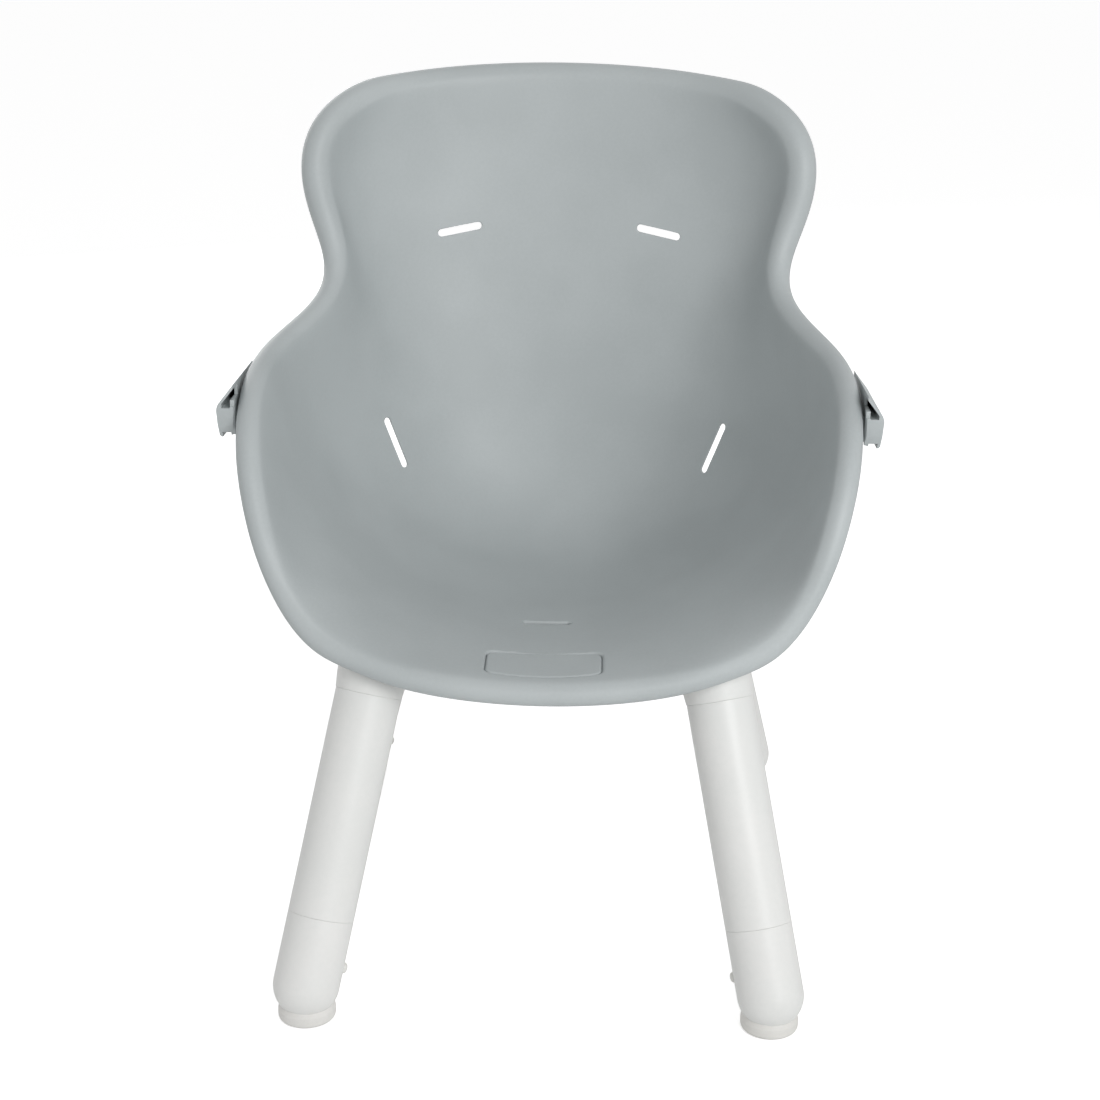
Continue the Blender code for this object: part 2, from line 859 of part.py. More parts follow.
def make_leg(label, foot, frame, patterns):
    """One leg: its tubes, foot, two snap buttons and their springs. Returns the upper button's hole."""
    empty = leg_empty(label, frame)
    bpy.context.view_layer.update()
    upper = add_child(f"upper_leg_{label}", patterns["upper"], WHITE_PLASTIC, empty)
    lower = add_child(f"lower_leg_{label}", patterns["lower"], WHITE_PLASTIC, empty)

    below = as_cutter(
        block(
            f"foot_plane_{label}",
            (-leg_radius * 3, -leg_radius * 3, -leg_radius * 2),
            (leg_radius * 3, leg_radius * 3, foot_height + joint_gap),
        )
    )
    below.location.xy = foot.xy
    boolean(lower, below)
    peg_hole = as_cutter(
        cylinder(
            f"peg_hole_{label}",
            peg_radius + joint_gap,
            0,
            foot_height + peg_height + joint_gap,
            button_segments,
        )
    )
    peg_hole.location.xy = foot.xy
    boolean(lower, peg_hole)
    add_child(f"foot_{label}", patterns["foot"], FOOT_PLASTIC, empty, Matrix.Translation((*foot.xy, 0)))

    seam = leg_length - lower_leg_length
    joints = (
        ("upper", upper_button_turn, button_from_joint, (upper,)),
        ("lower", lower_button_turn, seam + button_from_joint, (upper, lower)),
    )
    holes = {}
    for level, turn, distance, drilled in joints:
        place = button_turn(empty, turn, foot, distance)
        holes[level] = button_hole(f"{level}_{label}", place)
        for tube in drilled:
            boolean(tube, holes[level])
        add_child(f"{level}_button_{label}", patterns["button"], BUTTON_PLASTIC, empty, place)
        add_child(f"{level}_button_spring_{label}", patterns["spring"], SPRING_STEEL, empty, place)
    return holes["upper"]


def leg_patterns():
    """The turned and bent shapes that all four legs share."""
    return {
        "upper": turned("upper_leg", upper_leg_profile(), leg_segments),
        "lower": turned("lower_leg", lower_leg_profile(), leg_segments),
        "foot": turned("foot", foot_profile(), leg_segments),
        "button": turned("button", button_profile(), button_segments),
        "spring": spring_strip(),
    }


# Seat base


def collar_profile(height):
    """A flared socket body round a leg's axis, from the collar's face up into the shell's underside."""
    return [(0, height)] + collar_side(height, 0) + [(leg_radius + collar_step, 0), (0, 0)]


def collar_side(height, inset):
    """The collar's side from its rounded top down to its flare, drawn in by a wall."""
    centre = (leg_radius + collar_top_step - collar_round, height - collar_round)
    shoulder = arc(centre, collar_round - inset, 90, 0, collar_round_steps)
    return shoulder + [(leg_radius + collar_flare_step - inset, collar_flare_height + inset / 2)]


def collar_room_profile(height):
    """The hollow in a collar and the bore of its spigot, open at the lower end."""
    room = [(0, height - collar_wall)] + collar_side(height, collar_wall)
    below = -upper_spigot_length - overrun
    return room + [(bore_radius(), collar_wall), (bore_radius(), below), (0, below)]


def make_base(wall_middle, frames, upper_holes):
    """The base: a ribbed tray fitted to the shell's underside, with a collar and a spigot for each leg."""
    top = seat_height + base_top_share * shell_rise
    half = base_half_width
    low, high = (-half, base_front_y, base_bottom), (half, base_rear_y, top)
    base = block("seat_base", low, high, base_corner, base_corner_steps)
    as_part(base, WHITE_PLASTIC)

    def cut_base(other, operation="DIFFERENCE"):
        boolean(base, other, operation, "MANIFOLD")

    inner = base_wall
    hollow = block(
        "base_hollow",
        (-half + inner, base_front_y + inner, base_bottom + base_plate),
        (half - inner, base_rear_y - inner, top + overrun),
        base_corner - base_wall,
        base_corner_steps,
    )
    cut_base(as_cutter(hollow))
    rib_low = base_bottom + base_plate - lap
    for side, place in mirrored((base_rib_x, 0, 0)):
        low = (place.x - base_rib / 2, base_front_y + lap, rib_low)
        high = (place.x + base_rib / 2, base_rear_y - lap, top)
        cut_base(as_cutter(block(f"long_rib_{side}", low, high)), "UNION")
    for index, share in enumerate(base_rib_y_shares):
        y = base_front_y + share * (base_rear_y - base_front_y)
        low = (-half + lap, y - base_rib / 2, rib_low)
        high = (half - lap, y + base_rib / 2, top)
        cut_base(as_cutter(block(f"cross_rib_{index + 1}", low, high)), "UNION")
    rooms = []
    for label, foot, frame in frames:
        height = front_collar_height if foot.y < 0 else rear_collar_height
        collar = turned(f"collar_{label}", collar_profile(height), leg_segments)
        spigot = cylinder(
            f"spigot_{label}", spigot_radius(), -upper_spigot_length, collar_wall / 2, leg_segments
        )
        rooms.append(turned(f"collar_room_{label}", collar_room_profile(height), leg_segments))
        for shape in (collar, spigot, rooms[-1]):
            as_cutter(shape)
            shape.matrix_world = frame
        cut_base(collar, "UNION")
        cut_base(spigot, "UNION")
    shell_room = as_cutter(shell_cage("shell_room", roll_skirt + 2 * seat_gap))
    thicken(shell_room, seat_gap, shell_wall + seat_gap)
    cut_base(wall_middle)
    cut_base(shell_room)
    for cutter in rooms + upper_holes:
        cut_base(cutter)
    across = Vector((strap_window_length / 2, strap_window_width / 2, 0))
    middle = Vector((0, crotch_slot_y, base_bottom))
    below, above = Vector((0, 0, -overrun)), Vector((0, 0, base_plate + overrun))
    cut_base(as_cutter(block("strap_window", middle - across + below, middle + across + above)))
    for label, place in base_screw_places():
        hole = as_cutter(
            cylinder(
                f"base_hole_{label}",
                screw_radius + joint_gap,
                base_bottom - overrun,
                base_bottom + base_plate + overrun / 2,
                screw_segments,
            )
        )
        hole.location = (place.x, place.y, 0)
        cut_base(hole)
    return base


# Tray brackets and screws


def bracket_outline():
    """The bracket's cross-section, x outwards and y up: a plate, a roof, a round nose and a tip."""
    width, height = bracket_width, bracket_height
    normal = 90 - bracket_roof_angle
    nose_centre = (width - bracket_nose_radius, bracket_nose_share * height)
    nose = arc(nose_centre, bracket_nose_radius, normal, -8, bracket_arc_steps)
    tip_centre = (bracket_tip_share * width, bracket_tip_radius)
    tip = arc(tip_centre, bracket_tip_radius, -8, -110, bracket_arc_steps)
    ridge = nose[0][1] + nose[0][0] * math.tan(math.radians(bracket_roof_angle))
    return [(0, bracket_tip_radius), (0, ridge)] + nose + tip


def bracket_hollow():
    """The hollow under the roof, in the same section: it goes right through from front to rear."""
    outline = bracket_outline()
    slope = math.tan(math.radians(bracket_roof_angle))
    drop = bracket_skin / math.cos(math.radians(bracket_roof_angle))
    floor = bracket_web_share * bracket_height
    peak = outline[1][1] - drop - slope * bracket_plate
    wall_x = bracket_width - bracket_nose_wall
    under_roof = outline[1][1] - drop - slope * wall_x
    wall_top = max(under_roof, floor + lap)
    return [(bracket_plate, floor), (bracket_plate, peak), (wall_x, wall_top), (wall_x, floor)]


def bracket_pocket():
    """The pocket below the web, in the same section: open at the bottom and behind, closed at the front."""
    roof = bracket_web_share * bracket_height - bracket_web_thickness
    inner = bracket_plate
    outer = bracket_width - bracket_side_wall
    tip = bracket_tip_share * bracket_width - bracket_skin / 2
    return [(inner, -overrun), (inner, roof), (outer, roof), (outer, roof / 2), (tip, -overrun)]


def make_brackets():
    """The two brackets that the tray slides on, outside the arms, mirror images of each other."""
    for side, place in mirrored(bracket_middle()):
        sign = math.copysign(1, place.x)
        foot = Vector((place.x, place.y, bracket_top() - bracket_height))

        def section(name, outline, length):
            """A solid with this section, run along Y about the bracket's middle."""
            solid = extruded(name, [[(sign * x, y) for x, y in outline]], length)
            solid.location = foot
            solid.rotation_euler.x = math.pi / 2
            return solid

        bracket = as_part(section(f"tray_bracket_{side}", bracket_outline(), bracket_length), GREY_PLASTIC)
        shapes = [section(f"hollow_{side}", bracket_hollow(), bracket_length + 2 * overrun)]
        pocket = section(f"pocket_{side}", bracket_pocket(), bracket_length)
        pocket.location.y += bracket_front_wall
        shapes.append(pocket)

        front = place.y - bracket_length / 2
        chamfer = extruded(
            f"chamfer_{side}",
            [
                [
                    (front - overrun, foot.z - overrun),
                    (front + bracket_chamfer_depth, foot.z - overrun),
                    (front + bracket_chamfer_depth, foot.z),
                    (front, foot.z + bracket_chamfer_height),
                    (front - overrun, foot.z + bracket_chamfer_height),
                ]
            ],
            3 * bracket_width,
        )
        chamfer.matrix_world = placed(Vector((place.x, 0, 0)), Vector((1, 0, 0)), Vector((0, 1, 0)))
        shapes.append(chamfer)
        for shape in shapes:
            boolean(bracket, as_cutter(shape), "DIFFERENCE", "MANIFOLD")

        rib_y = front + bracket_rib_setback
        rib_z = foot.z + bracket_web_share * bracket_height
        root = place.x + sign * (bracket_plate - lap)
        tip = place.x + sign * (bracket_plate + bracket_rib_width)
        rib = block(
            f"bracket_rib_{side}",
            (min(root, tip), rib_y, rib_z - lap),
            (max(root, tip), rib_y + bracket_rib_length, rib_z + bracket_rib_height),
        )
        boolean(bracket, as_cutter(rib), "UNION", "MANIFOLD")
        bracket.data.shade_smooth()
        bracket.data.set_sharp_from_angle(angle=math.radians(30))
        for label, spot in bracket_screw_places():
            if spot.x * sign < 0:
                continue
            through = cylinder(
                f"plate_hole_{label}",
                screw_radius + joint_gap,
                -overrun,
                bracket_plate + lap,
                screw_segments,
            )
            access = cylinder(
                f"access_hole_{label}",
                screw_head_radius + access_gap,
                bracket_plate,
                bracket_width + overrun,
                screw_segments,
            )
            for cutter in (through, access):
                as_cutter(cutter)
                cutter.location = spot
                cutter.rotation_euler.y = sign * math.pi / 2
                boolean(bracket, cutter, "DIFFERENCE", "MANIFOLD")


def screw_profile(length):
    """A pan-head screw, its shank up from z = 0 and its head down."""
    return [
        (0, length),
        (screw_radius * screw_point_share, length),
        (screw_radius, length - screw_radius),
        (screw_radius, 0),
        (screw_head_radius, 0),
        (screw_head_radius, -screw_head_height / 2),
        (screw_head_radius * screw_crown_share, -screw_head_height),
        (0, -screw_head_height),
    ]


def make_screws():
    """Six screws up into the shell's bosses, and two for each bracket."""
    for label, place in base_screw_places():
        profile = screw_profile(base_screw_length - screw_end_room)
        screw = as_part(turned(f"base_screw_{label}", profile, screw_segments), SCREW_STEEL)
        screw.location = (place.x, place.y, base_bottom - joint_gap)
    for label, place in bracket_screw_places():
        sign = math.copysign(1, place.x)
        profile = screw_profile(bracket_screw_length - screw_end_room)
        screw = as_part(turned(f"bracket_screw_{label}", profile, screw_segments), SCREW_STEEL)
        screw.location = place + Vector((sign * (bracket_plate + joint_gap), 0, 0))
        screw.rotation_euler.y = -sign * math.pi / 2


def main():
    wall_middle = make_seat()
    patterns = leg_patterns()
    frames = leg_frames()
    upper_holes = [make_leg(label, foot, frame, patterns) for label, foot, frame in frames]
    for pattern in patterns.values():
        bpy.data.objects.remove(pattern, do_unlink=True)
    make_base(wall_middle, frames, upper_holes)
    make_brackets()
    make_screws()


main()
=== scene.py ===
# %% [markdown]
# # A child's high chair, finished in Blender
# The chair is a bucket seat moulded in one piece of blue-grey plastic. It stands on a white base with four
# splayed legs that plug in and lock with snap buttons. The frame that is loaded first holds every piece
# as a plain faceted solid at its real size and place. This lesson keeps those places and gives each piece
# its smooth shape, its softened edges and its real surface.

# %% Load the frame
import json
import math

import bmesh
import bpy
from mathutils import Matrix, Vector
from mathutils.bvhtree import BVHTree


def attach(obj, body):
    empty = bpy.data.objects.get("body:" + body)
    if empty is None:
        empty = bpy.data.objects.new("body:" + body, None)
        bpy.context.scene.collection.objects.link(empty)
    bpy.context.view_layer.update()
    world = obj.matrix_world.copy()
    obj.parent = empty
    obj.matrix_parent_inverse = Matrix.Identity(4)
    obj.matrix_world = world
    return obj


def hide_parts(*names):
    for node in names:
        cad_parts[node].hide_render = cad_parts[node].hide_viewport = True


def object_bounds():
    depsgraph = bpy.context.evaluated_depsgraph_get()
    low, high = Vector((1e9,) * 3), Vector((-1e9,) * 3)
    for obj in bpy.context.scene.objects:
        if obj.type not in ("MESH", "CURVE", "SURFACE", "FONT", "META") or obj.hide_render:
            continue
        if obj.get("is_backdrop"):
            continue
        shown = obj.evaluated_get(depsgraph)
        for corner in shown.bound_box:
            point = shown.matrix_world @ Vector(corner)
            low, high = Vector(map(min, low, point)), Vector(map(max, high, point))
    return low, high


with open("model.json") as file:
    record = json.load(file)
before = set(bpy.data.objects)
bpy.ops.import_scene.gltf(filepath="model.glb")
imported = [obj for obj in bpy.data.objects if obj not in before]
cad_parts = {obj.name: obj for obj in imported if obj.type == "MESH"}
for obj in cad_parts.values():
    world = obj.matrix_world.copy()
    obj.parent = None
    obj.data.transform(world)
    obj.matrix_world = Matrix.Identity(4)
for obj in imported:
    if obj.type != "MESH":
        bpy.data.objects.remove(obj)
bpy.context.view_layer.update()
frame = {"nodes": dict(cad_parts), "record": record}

# %% [markdown]
# ## Camera
# A photograph of a product is easiest to match when the camera is set from numbers, not by eye: how far
# away it stands, how far it looks down, and its focal length in pixels. The rotation is built from three
# turns, each about one axis, so that every number can be read by itself.

# %% Camera at the photograph's angle
camera_place = Vector((0.0316, -1.4279, 0.7273))
camera_azimuth = 1.27
camera_pitch = 17.56
camera_roll = 0.72
photo_side = 1100
focal_pixels = 2000
sensor_mm = 36

camera_data = bpy.data.cameras.new("camera")
camera_data.sensor_width = sensor_mm
camera_data.lens = sensor_mm * focal_pixels / photo_side
camera = bpy.data.objects.new("camera", camera_data)
bpy.context.scene.collection.objects.link(camera)
bpy.context.scene.camera = camera
turned_camera = (
    Matrix.Rotation(math.radians(camera_azimuth), 4, "Z")
    @ Matrix.Rotation(math.radians(90 - camera_pitch), 4, "X")
    @ Matrix.Rotation(math.radians(camera_roll), 4, "Z")
)
camera.matrix_world = Matrix.Translation(camera_place) @ turned_camera
print("Focal length", round(camera_data.lens, 1), "mm on a", sensor_mm, "mm sensor")

# %% [markdown]
# ## Adding shader nodes
# Every material and the world are node trees. One small function adds a node, sets what it is told to set
# and links what it is told to link, so each tree reads from top to bottom like a recipe. Colours are
# written as the hex values that a paint program shows, and one function turns them to linear light.

# %% Node and colour helpers
def linear(colour):
    """A hex colour as linear light, the way shader sockets take it."""
    channels = [(colour >> shift & 255) / 255 for shift in (16, 8, 0)]
    return (*[c / 12.92 if c <= 0.04045 else ((c + 0.055) / 1.055) ** 2.4 for c in channels], 1)


def add_node(tree, kind, values=None, links=None, **settings):
    """Adds a node with its settings, the values of its sockets and the links that lead into it."""
    node = tree.nodes.new(kind)
    for name, value in settings.items():
        setattr(node, name, value)
    for socket, value in (values or {}).items():
        node.inputs[socket].default_value = value
    for socket, source in (links or {}).items():
        tree.links.new(source, node.inputs[socket])
    return node


# %% [markdown]
# ## Studio
# The photograph is lit by soft light from all round and by a large soft lamp at the front right, on white.
# A weaker and larger lamp behind keeps the back from going dull when the chair is seen from there.
# A white world gives the light from all round, and it is dimmer towards the zenith, as in a studio with a
# dark ceiling, so the pan of the seat is darker than its back. Rays that come straight from the camera,
# or by way of a reflection, see full white, so the background stays white while the light on the chair
# keeps to a plain level. The floor is pale and keeps the chair's soft shadow, and a faint glow that only
# the camera sees lifts it to white.

# %% World
horizon_strength = 0.72
zenith_strength = 0.42

world = bpy.data.worlds.new("white studio")
bpy.context.scene.world = world
world.use_nodes = True
tree = world.node_tree
tree.nodes.clear()
rays = add_node(tree, "ShaderNodeLightPath")
mirrored_rays = add_node(
    tree, "ShaderNodeMath", operation="MAXIMUM",
    links={0: rays.outputs["Is Glossy Ray"], 1: rays.outputs["Is Transmission Ray"]},
)
seen = add_node(
    tree, "ShaderNodeMath", operation="MAXIMUM",
    links={0: rays.outputs["Is Camera Ray"], 1: mirrored_rays.outputs[0]},
)
direction = add_node(tree, "ShaderNodeTexCoord").outputs["Generated"]
height = add_node(tree, "ShaderNodeSeparateXYZ", links={0: direction})
dimming = add_node(
    tree, "ShaderNodeMapRange", {"To Min": horizon_strength, "To Max": zenith_strength},
    {"Value": height.outputs["Z"]},
)
light = add_node(tree, "ShaderNodeBackground", {"Color": (1, 1, 1, 1)}, {"Strength": dimming.outputs[0]})
white = add_node(tree, "ShaderNodeBackground", {"Color": (1, 1, 1, 1), "Strength": 1})
both = add_node(
    tree, "ShaderNodeMixShader", links={0: seen.outputs[0], 1: light.outputs[0], 2: white.outputs[0]}
)
add_node(tree, "ShaderNodeOutputWorld", links={"Surface": both.outputs[0]})
bpy.context.scene.view_settings.view_transform = "Standard"
print("World strength from", horizon_strength, "at the horizon to", zenith_strength, "overhead")

# %% Lamps
def area_lamp(name, place, target, side, energy):
    """A square soft light that looks at a target."""
    lamp = bpy.data.lights.new(name, "AREA")
    lamp.shape = "SQUARE"
    lamp.size = side
    lamp.energy = energy
    obj = bpy.data.objects.new(name, lamp)
    bpy.context.scene.collection.objects.link(obj)
    obj.location = place
    obj.rotation_euler = (Vector(target) - Vector(place)).to_track_quat("-Z", "Y").to_euler()


seat_centre = (0, 0, 0.38)
key_place = (1.25, -2.35, 1.5)
key_side = 1.2
key_watts = 38
back_place = (-1.3, 2.4, 1.3)
back_side = 2.0
back_watts = 26

area_lamp("key lamp", key_place, seat_centre, key_side, key_watts)
area_lamp("back lamp", back_place, seat_centre, back_side, back_watts)
print("Lamps of", key_watts, "and", back_watts, "watts")

# %% Floor
floor_side = 60
floor_lift = 0.50
floor_white = 0xF6F6F6


def new_material(name):
    """A material with an empty node tree, and that tree."""
    made = bpy.data.materials.new(name)
    made.use_nodes = True
    made.node_tree.nodes.clear()
    return made, made.node_tree


bpy.ops.object.select_all(action="DESELECT")
bpy.ops.mesh.primitive_plane_add(size=floor_side, location=(0, 0, 0))
floor = bpy.context.object
floor.name = "studio_floor"
floor_material, tree = new_material("pale floor paint")
rays = add_node(tree, "ShaderNodeLightPath")
paint = add_node(tree, "ShaderNodeBsdfDiffuse", {"Color": linear(floor_white)})
lift = add_node(
    tree, "ShaderNodeMath", {1: floor_lift}, {0: rays.outputs["Is Camera Ray"]}, operation="MULTIPLY"
)
glow = add_node(tree, "ShaderNodeEmission", {"Color": (1, 1, 1, 1)}, {"Strength": lift.outputs[0]})
both = add_node(tree, "ShaderNodeAddShader", links={0: paint.outputs[0], 1: glow.outputs[0]})
add_node(tree, "ShaderNodeOutputMaterial", links={"Surface": both.outputs[0]})
floor.data.materials.append(floor_material)
floor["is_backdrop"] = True
print("Floor:", floor_side, "m square")

# %% [markdown]
# ## Plastics and metals
# The seat and the base are polypropylene, injection moulded. The mould of the seat is spark eroded, which
# leaves a fine even grain: it breaks up reflections, so the seat looks matt and its colour looks soft.
# The white base and tubes come from a smoother mould, so they are a little glossier. Every plastic varies
# very slightly in shade over a hand's width, because the melt cools unevenly. Plastics and metals both use
# noise patterns of a real size in millimetres, so the helpers for those come first.

# %% Noise and surface helpers
object_space = "Object"
noise_low = 0.3
noise_high = 0.7


def noise(tree, place, size_mm, detail, roughness=0.5):
    """A cloudy pattern of a real size."""
    values = {"Scale": 1000 / size_mm, "Detail": detail, "Roughness": roughness}
    return add_node(tree, "ShaderNodeTexNoise", values, {"Vector": place}).outputs[0]


def spread(tree, pattern, low, high, pattern_low=noise_low, pattern_high=noise_high):
    """A pattern's usual range of values, spread over another range."""
    values = {"From Min": pattern_low, "From Max": pattern_high, "To Min": low, "To Max": high}
    return add_node(tree, "ShaderNodeMapRange", values, {"Value": pattern}).outputs[0]


def grained_surface(tree, pattern, roughness, roughness_swing, depth_mm, strength, values, links):
    """The shader, with a pattern that varies its gloss and stands out as a fine relief."""
    gloss = spread(tree, pattern, roughness - roughness_swing, roughness + roughness_swing)
    relief = {"Strength": strength, "Distance": depth_mm / 1000}
    bump = add_node(tree, "ShaderNodeBump", relief, {"Height": pattern})
    links = {**links, "Roughness": gloss, "Normal": bump.outputs[0]}
    surface = add_node(tree, "ShaderNodeBsdfPrincipled", values, links)
    add_node(tree, "ShaderNodeOutputMaterial", links={"Surface": surface.outputs[0]})


# %% Moulded plastic
drift_mm = 90
drift_low = 0.35
drift_high = 0.65
speck_grains = 2.5
speck_swing = 0.18
plastic_gloss_swing = 0.05
plastic_grain_roughness = 0.6
plastic_relief = 0.6


def moulded_plastic(name, colour, shade, roughness, grain_mm, grain_depth_mm, ior=1.49):
    """A moulded plastic: a base colour that drifts to a shade of it, and a mould grain of a real size."""
    made, tree = new_material(name)
    place = add_node(tree, "ShaderNodeTexCoord").outputs[object_space]
    drift = spread(tree, noise(tree, place, drift_mm, 2), 0, 1, drift_low, drift_high)
    speck = spread(tree, noise(tree, place, speck_grains * grain_mm, 1), -speck_swing, speck_swing)
    share = add_node(tree, "ShaderNodeMath", links={0: drift, 1: speck}, operation="ADD", use_clamp=True)
    paint = add_node(
        tree, "ShaderNodeMix", {6: linear(colour), 7: linear(shade)}, {0: share.outputs[0]}, data_type="RGBA"
    )
    grain = noise(tree, place, grain_mm, 3, plastic_grain_roughness)
    grained_surface(
        tree, grain, roughness, plastic_gloss_swing, grain_depth_mm, plastic_relief,
        {"IOR": ior}, {"Base Color": paint.outputs[2]},
    )
    return made


# Spark-eroded grain is about 0.3 mm. It is drawn at 0.9 mm, so that it still shows from a step away.
grey_polypropylene = moulded_plastic(
    "grey polypropylene, spark-eroded mould", 0xB1B7B8, 0xABB1B2, 0.50, 0.9, 0.05
)
# The leg tubes and the base come from a brushed mould. It softens reflections but leaves a satin sheen.
white_polypropylene = moulded_plastic("white polypropylene, satin mould", 0xE1E1DF, 0xDCDDDB, 0.40, 1.4, 0.02)
# Thermoplastic elastomer is softer and duller than the tubes, and a little warmer in colour.
white_elastomer = moulded_plastic("white elastomer, matt mould", 0xDCDBD8, 0xD6D5D1, 0.62, 0.8, 0.04)
# Nylon from a polished mould, with the thumb's wear on its dome, is the glossiest plastic on the chair.
white_nylon = moulded_plastic("white nylon, polished mould", 0xDEDEDA, 0xD8D8D4, 0.30, 2.0, 0.01, 1.53)
print(len(bpy.data.materials), "materials")

# %% [markdown]
# Metals show only in screw holes and inside the legs: the screws are zinc-plated steel with a faint cloudy
# bloom, and the leaf springs are rolled steel strip, whose fine lines run along the strip. A metal's colour
# is all in its reflection, so its base colour is pale and its metallic value is one.

# %% Steel
steel_gloss_swing = 0.08
steel_line_depth_mm = 0.01
steel_relief = 0.3


def rolled_steel(name, colour, roughness, line_mm, stretch):
    """A bare metal: fine lines, or an even bloom where they aren't stretched, that vary its gloss."""
    made, tree = new_material(name)
    place = add_node(tree, "ShaderNodeTexCoord").outputs[object_space]
    along = add_node(tree, "ShaderNodeMapping", {"Scale": (1, 1, stretch)}, {"Vector": place})
    lines = noise(tree, along.outputs[0], line_mm, 2)
    grained_surface(
        tree, lines, roughness, steel_gloss_swing, steel_line_depth_mm, steel_relief,
        {"Base Color": linear(colour), "Metallic": 1.0}, {},
    )
    return made


spring_strip_steel = rolled_steel("spring steel, cold rolled", 0xB9BABC, 0.30, 0.6, 0.08)
zinc_plate = rolled_steel("steel, zinc plated", 0xC9CBCC, 0.38, 1.5, 1)
print(len(bpy.data.materials), "materials")

# %% [markdown]
# ## Working as by hand
# Blender's operators act on whatever is selected and active, so each step first selects the one object
# that it is about. A modifier is a plan until it is applied. These helpers select an object, add and apply
# its modifiers, and cut or join two closed solids.

# %% Selecting, applying and cutting
def only(obj):
    """Selects one object and makes it active."""
    bpy.ops.object.select_all(action="DESELECT")
    obj.select_set(True)
    bpy.context.view_layer.objects.active = obj


def modify(obj, name, kind, **settings):
    """Adds a modifier with its settings."""
    modifier = obj.modifiers.new(name, kind)
    for setting, value in settings.items():
        setattr(modifier, setting, value)


def apply_modifiers(obj):
    """Turns an object's modifiers into mesh, in their order."""
    only(obj)
    for modifier in list(obj.modifiers):
        bpy.ops.object.modifier_apply(modifier=modifier.name)


def combine(target, tool, operation="DIFFERENCE", keep_tool=False):
    """Cuts a closed solid with another, or joins them, and clears the tool away."""
    modify(target, operation.lower(), "BOOLEAN", operation=operation, object=tool, solver="MANIFOLD")
    apply_modifiers(target)
    if not keep_tool:
        bpy.data.objects.remove(tool, do_unlink=True)


def copy_of(obj, name):
    """An independent copy of an object, mesh and all."""
    made = obj.copy()
    made.data = obj.data.copy()
    made.name = name
    bpy.context.scene.collection.objects.link(made)
    return made


# %% [markdown]
# ## Bucket seat: the stations
# A moulded bucket has no straight line in it. A shipbuilder would describe such a hull by stations: a row
# of cross-sections from one end to the other. Sixteen stations run from the front lip over the pan and up
# the back. Each starts on the middle line and sweeps up to the rim in one even curve. The numbers are
# shares of the seat's reach, rise and half width.

# %% Stations
seat_front = -0.1805
seat_height = 0.237
shell_reach = 0.380
shell_rise = 0.370
shell_half_width = 0.200
shell_wall = 0.0035
section_columns = 5

# Where each station starts (along, up), where it meets the rim (out, along, up), and its turn in degrees
station_shares = (
    (0.000, 0.007, 0.742, 0.033, 0.072, 65),
    (0.067, 0.013, 0.842, 0.051, 0.130, 72),
    (0.159, 0.016, 0.900, 0.080, 0.211, 80),
    (0.264, 0.012, 0.942, 0.117, 0.292, 86),
    (0.383, 0.005, 0.977, 0.167, 0.378, 90),
    (0.501, 0.000, 0.994, 0.251, 0.446, 90),
    (0.620, 0.001, 1.000, 0.362, 0.485, 90),
    (0.728, 0.019, 0.972, 0.475, 0.508, 90),
    (0.812, 0.063, 0.878, 0.580, 0.538, 90),
    (0.864, 0.143, 0.805, 0.672, 0.581, 90),
    (0.896, 0.265, 0.790, 0.728, 0.644, 90),
    (0.928, 0.414, 0.820, 0.751, 0.711, 90),
    (0.957, 0.563, 0.861, 0.759, 0.779, 90),
    (0.980, 0.711, 0.878, 0.759, 0.846, 90),
    (0.997, 0.859, 0.846, 0.786, 0.911, 85),
    (1.000, 1.000, 0.712, 0.864, 0.960, 62),
)


def seat_place(out, along, up):
    """A point given as shares of the seat's half width, reach and rise."""
    return Vector(
        (out * shell_half_width, seat_front + along * shell_reach, seat_height + up * shell_rise)
    )


def station_rows():
    """Half of the bucket's inner surface, one row of points for each station."""
    rows = []
    for along, up, rim_out, rim_along, rim_up, turn_degrees in station_shares:
        start = seat_place(0, along, up)
        rim = seat_place(rim_out, rim_along, rim_up)
        turn = math.radians(turn_degrees)
        row = []
        for column in range(section_columns + 1):
            angle = turn * column / section_columns
            point = start.lerp(rim, (1 - math.cos(angle)) / (1 - math.cos(turn)))
            point.x = rim.x * math.sin(angle) / math.sin(turn)
            row.append(point)
        rows.append(row)
    return rows


rows = station_rows()
print(len(rows), "stations of", len(rows[0]), "points")

# %% [markdown]
# ## The rolled rim
# The rim rolls over outwards by half a turn, then runs down a few millimetres as a skirt. That roll is
# what makes a thin moulding stiff, and it gives the edge that a hand can lift by. For each rim point, the
# direction of the wall and the direction along the rim say which way is outwards.

# %% Roll of the rim
roll_radius_low = 0.0095
roll_radius_high = 0.0125
roll_turns = (60, 120, 180)
roll_skirt = 0.0058
arm_station = 9
head_station = 13


def rim_with_neighbours(rows):
    """The rim from the middle of the lip to the middle of the top, each point with the one inside it."""
    last = section_columns
    front = [(rows[0][i], rows[1][i]) for i in range(last)]
    side = [(rows[j][last], rows[j][last - 1]) for j in range(1, len(rows) - 1)]
    corner = [(rows[0][last], rows[1][last - 1])]
    top_corner = [(rows[-1][last], rows[-2][last - 1])]
    top = [(rows[-1][i], rows[-2][i]) for i in reversed(range(last))]
    return front + corner + side + top_corner + top


def roll_radius(height):
    """The roll grows from the arms to the head."""
    low = seat_height + station_shares[arm_station][4] * shell_rise
    high = seat_height + station_shares[head_station][4] * shell_rise
    share = min(1, max(0, (height - low) / (high - low)))
    return roll_radius_low + (roll_radius_high - roll_radius_low) * share * share * (3 - 2 * share)


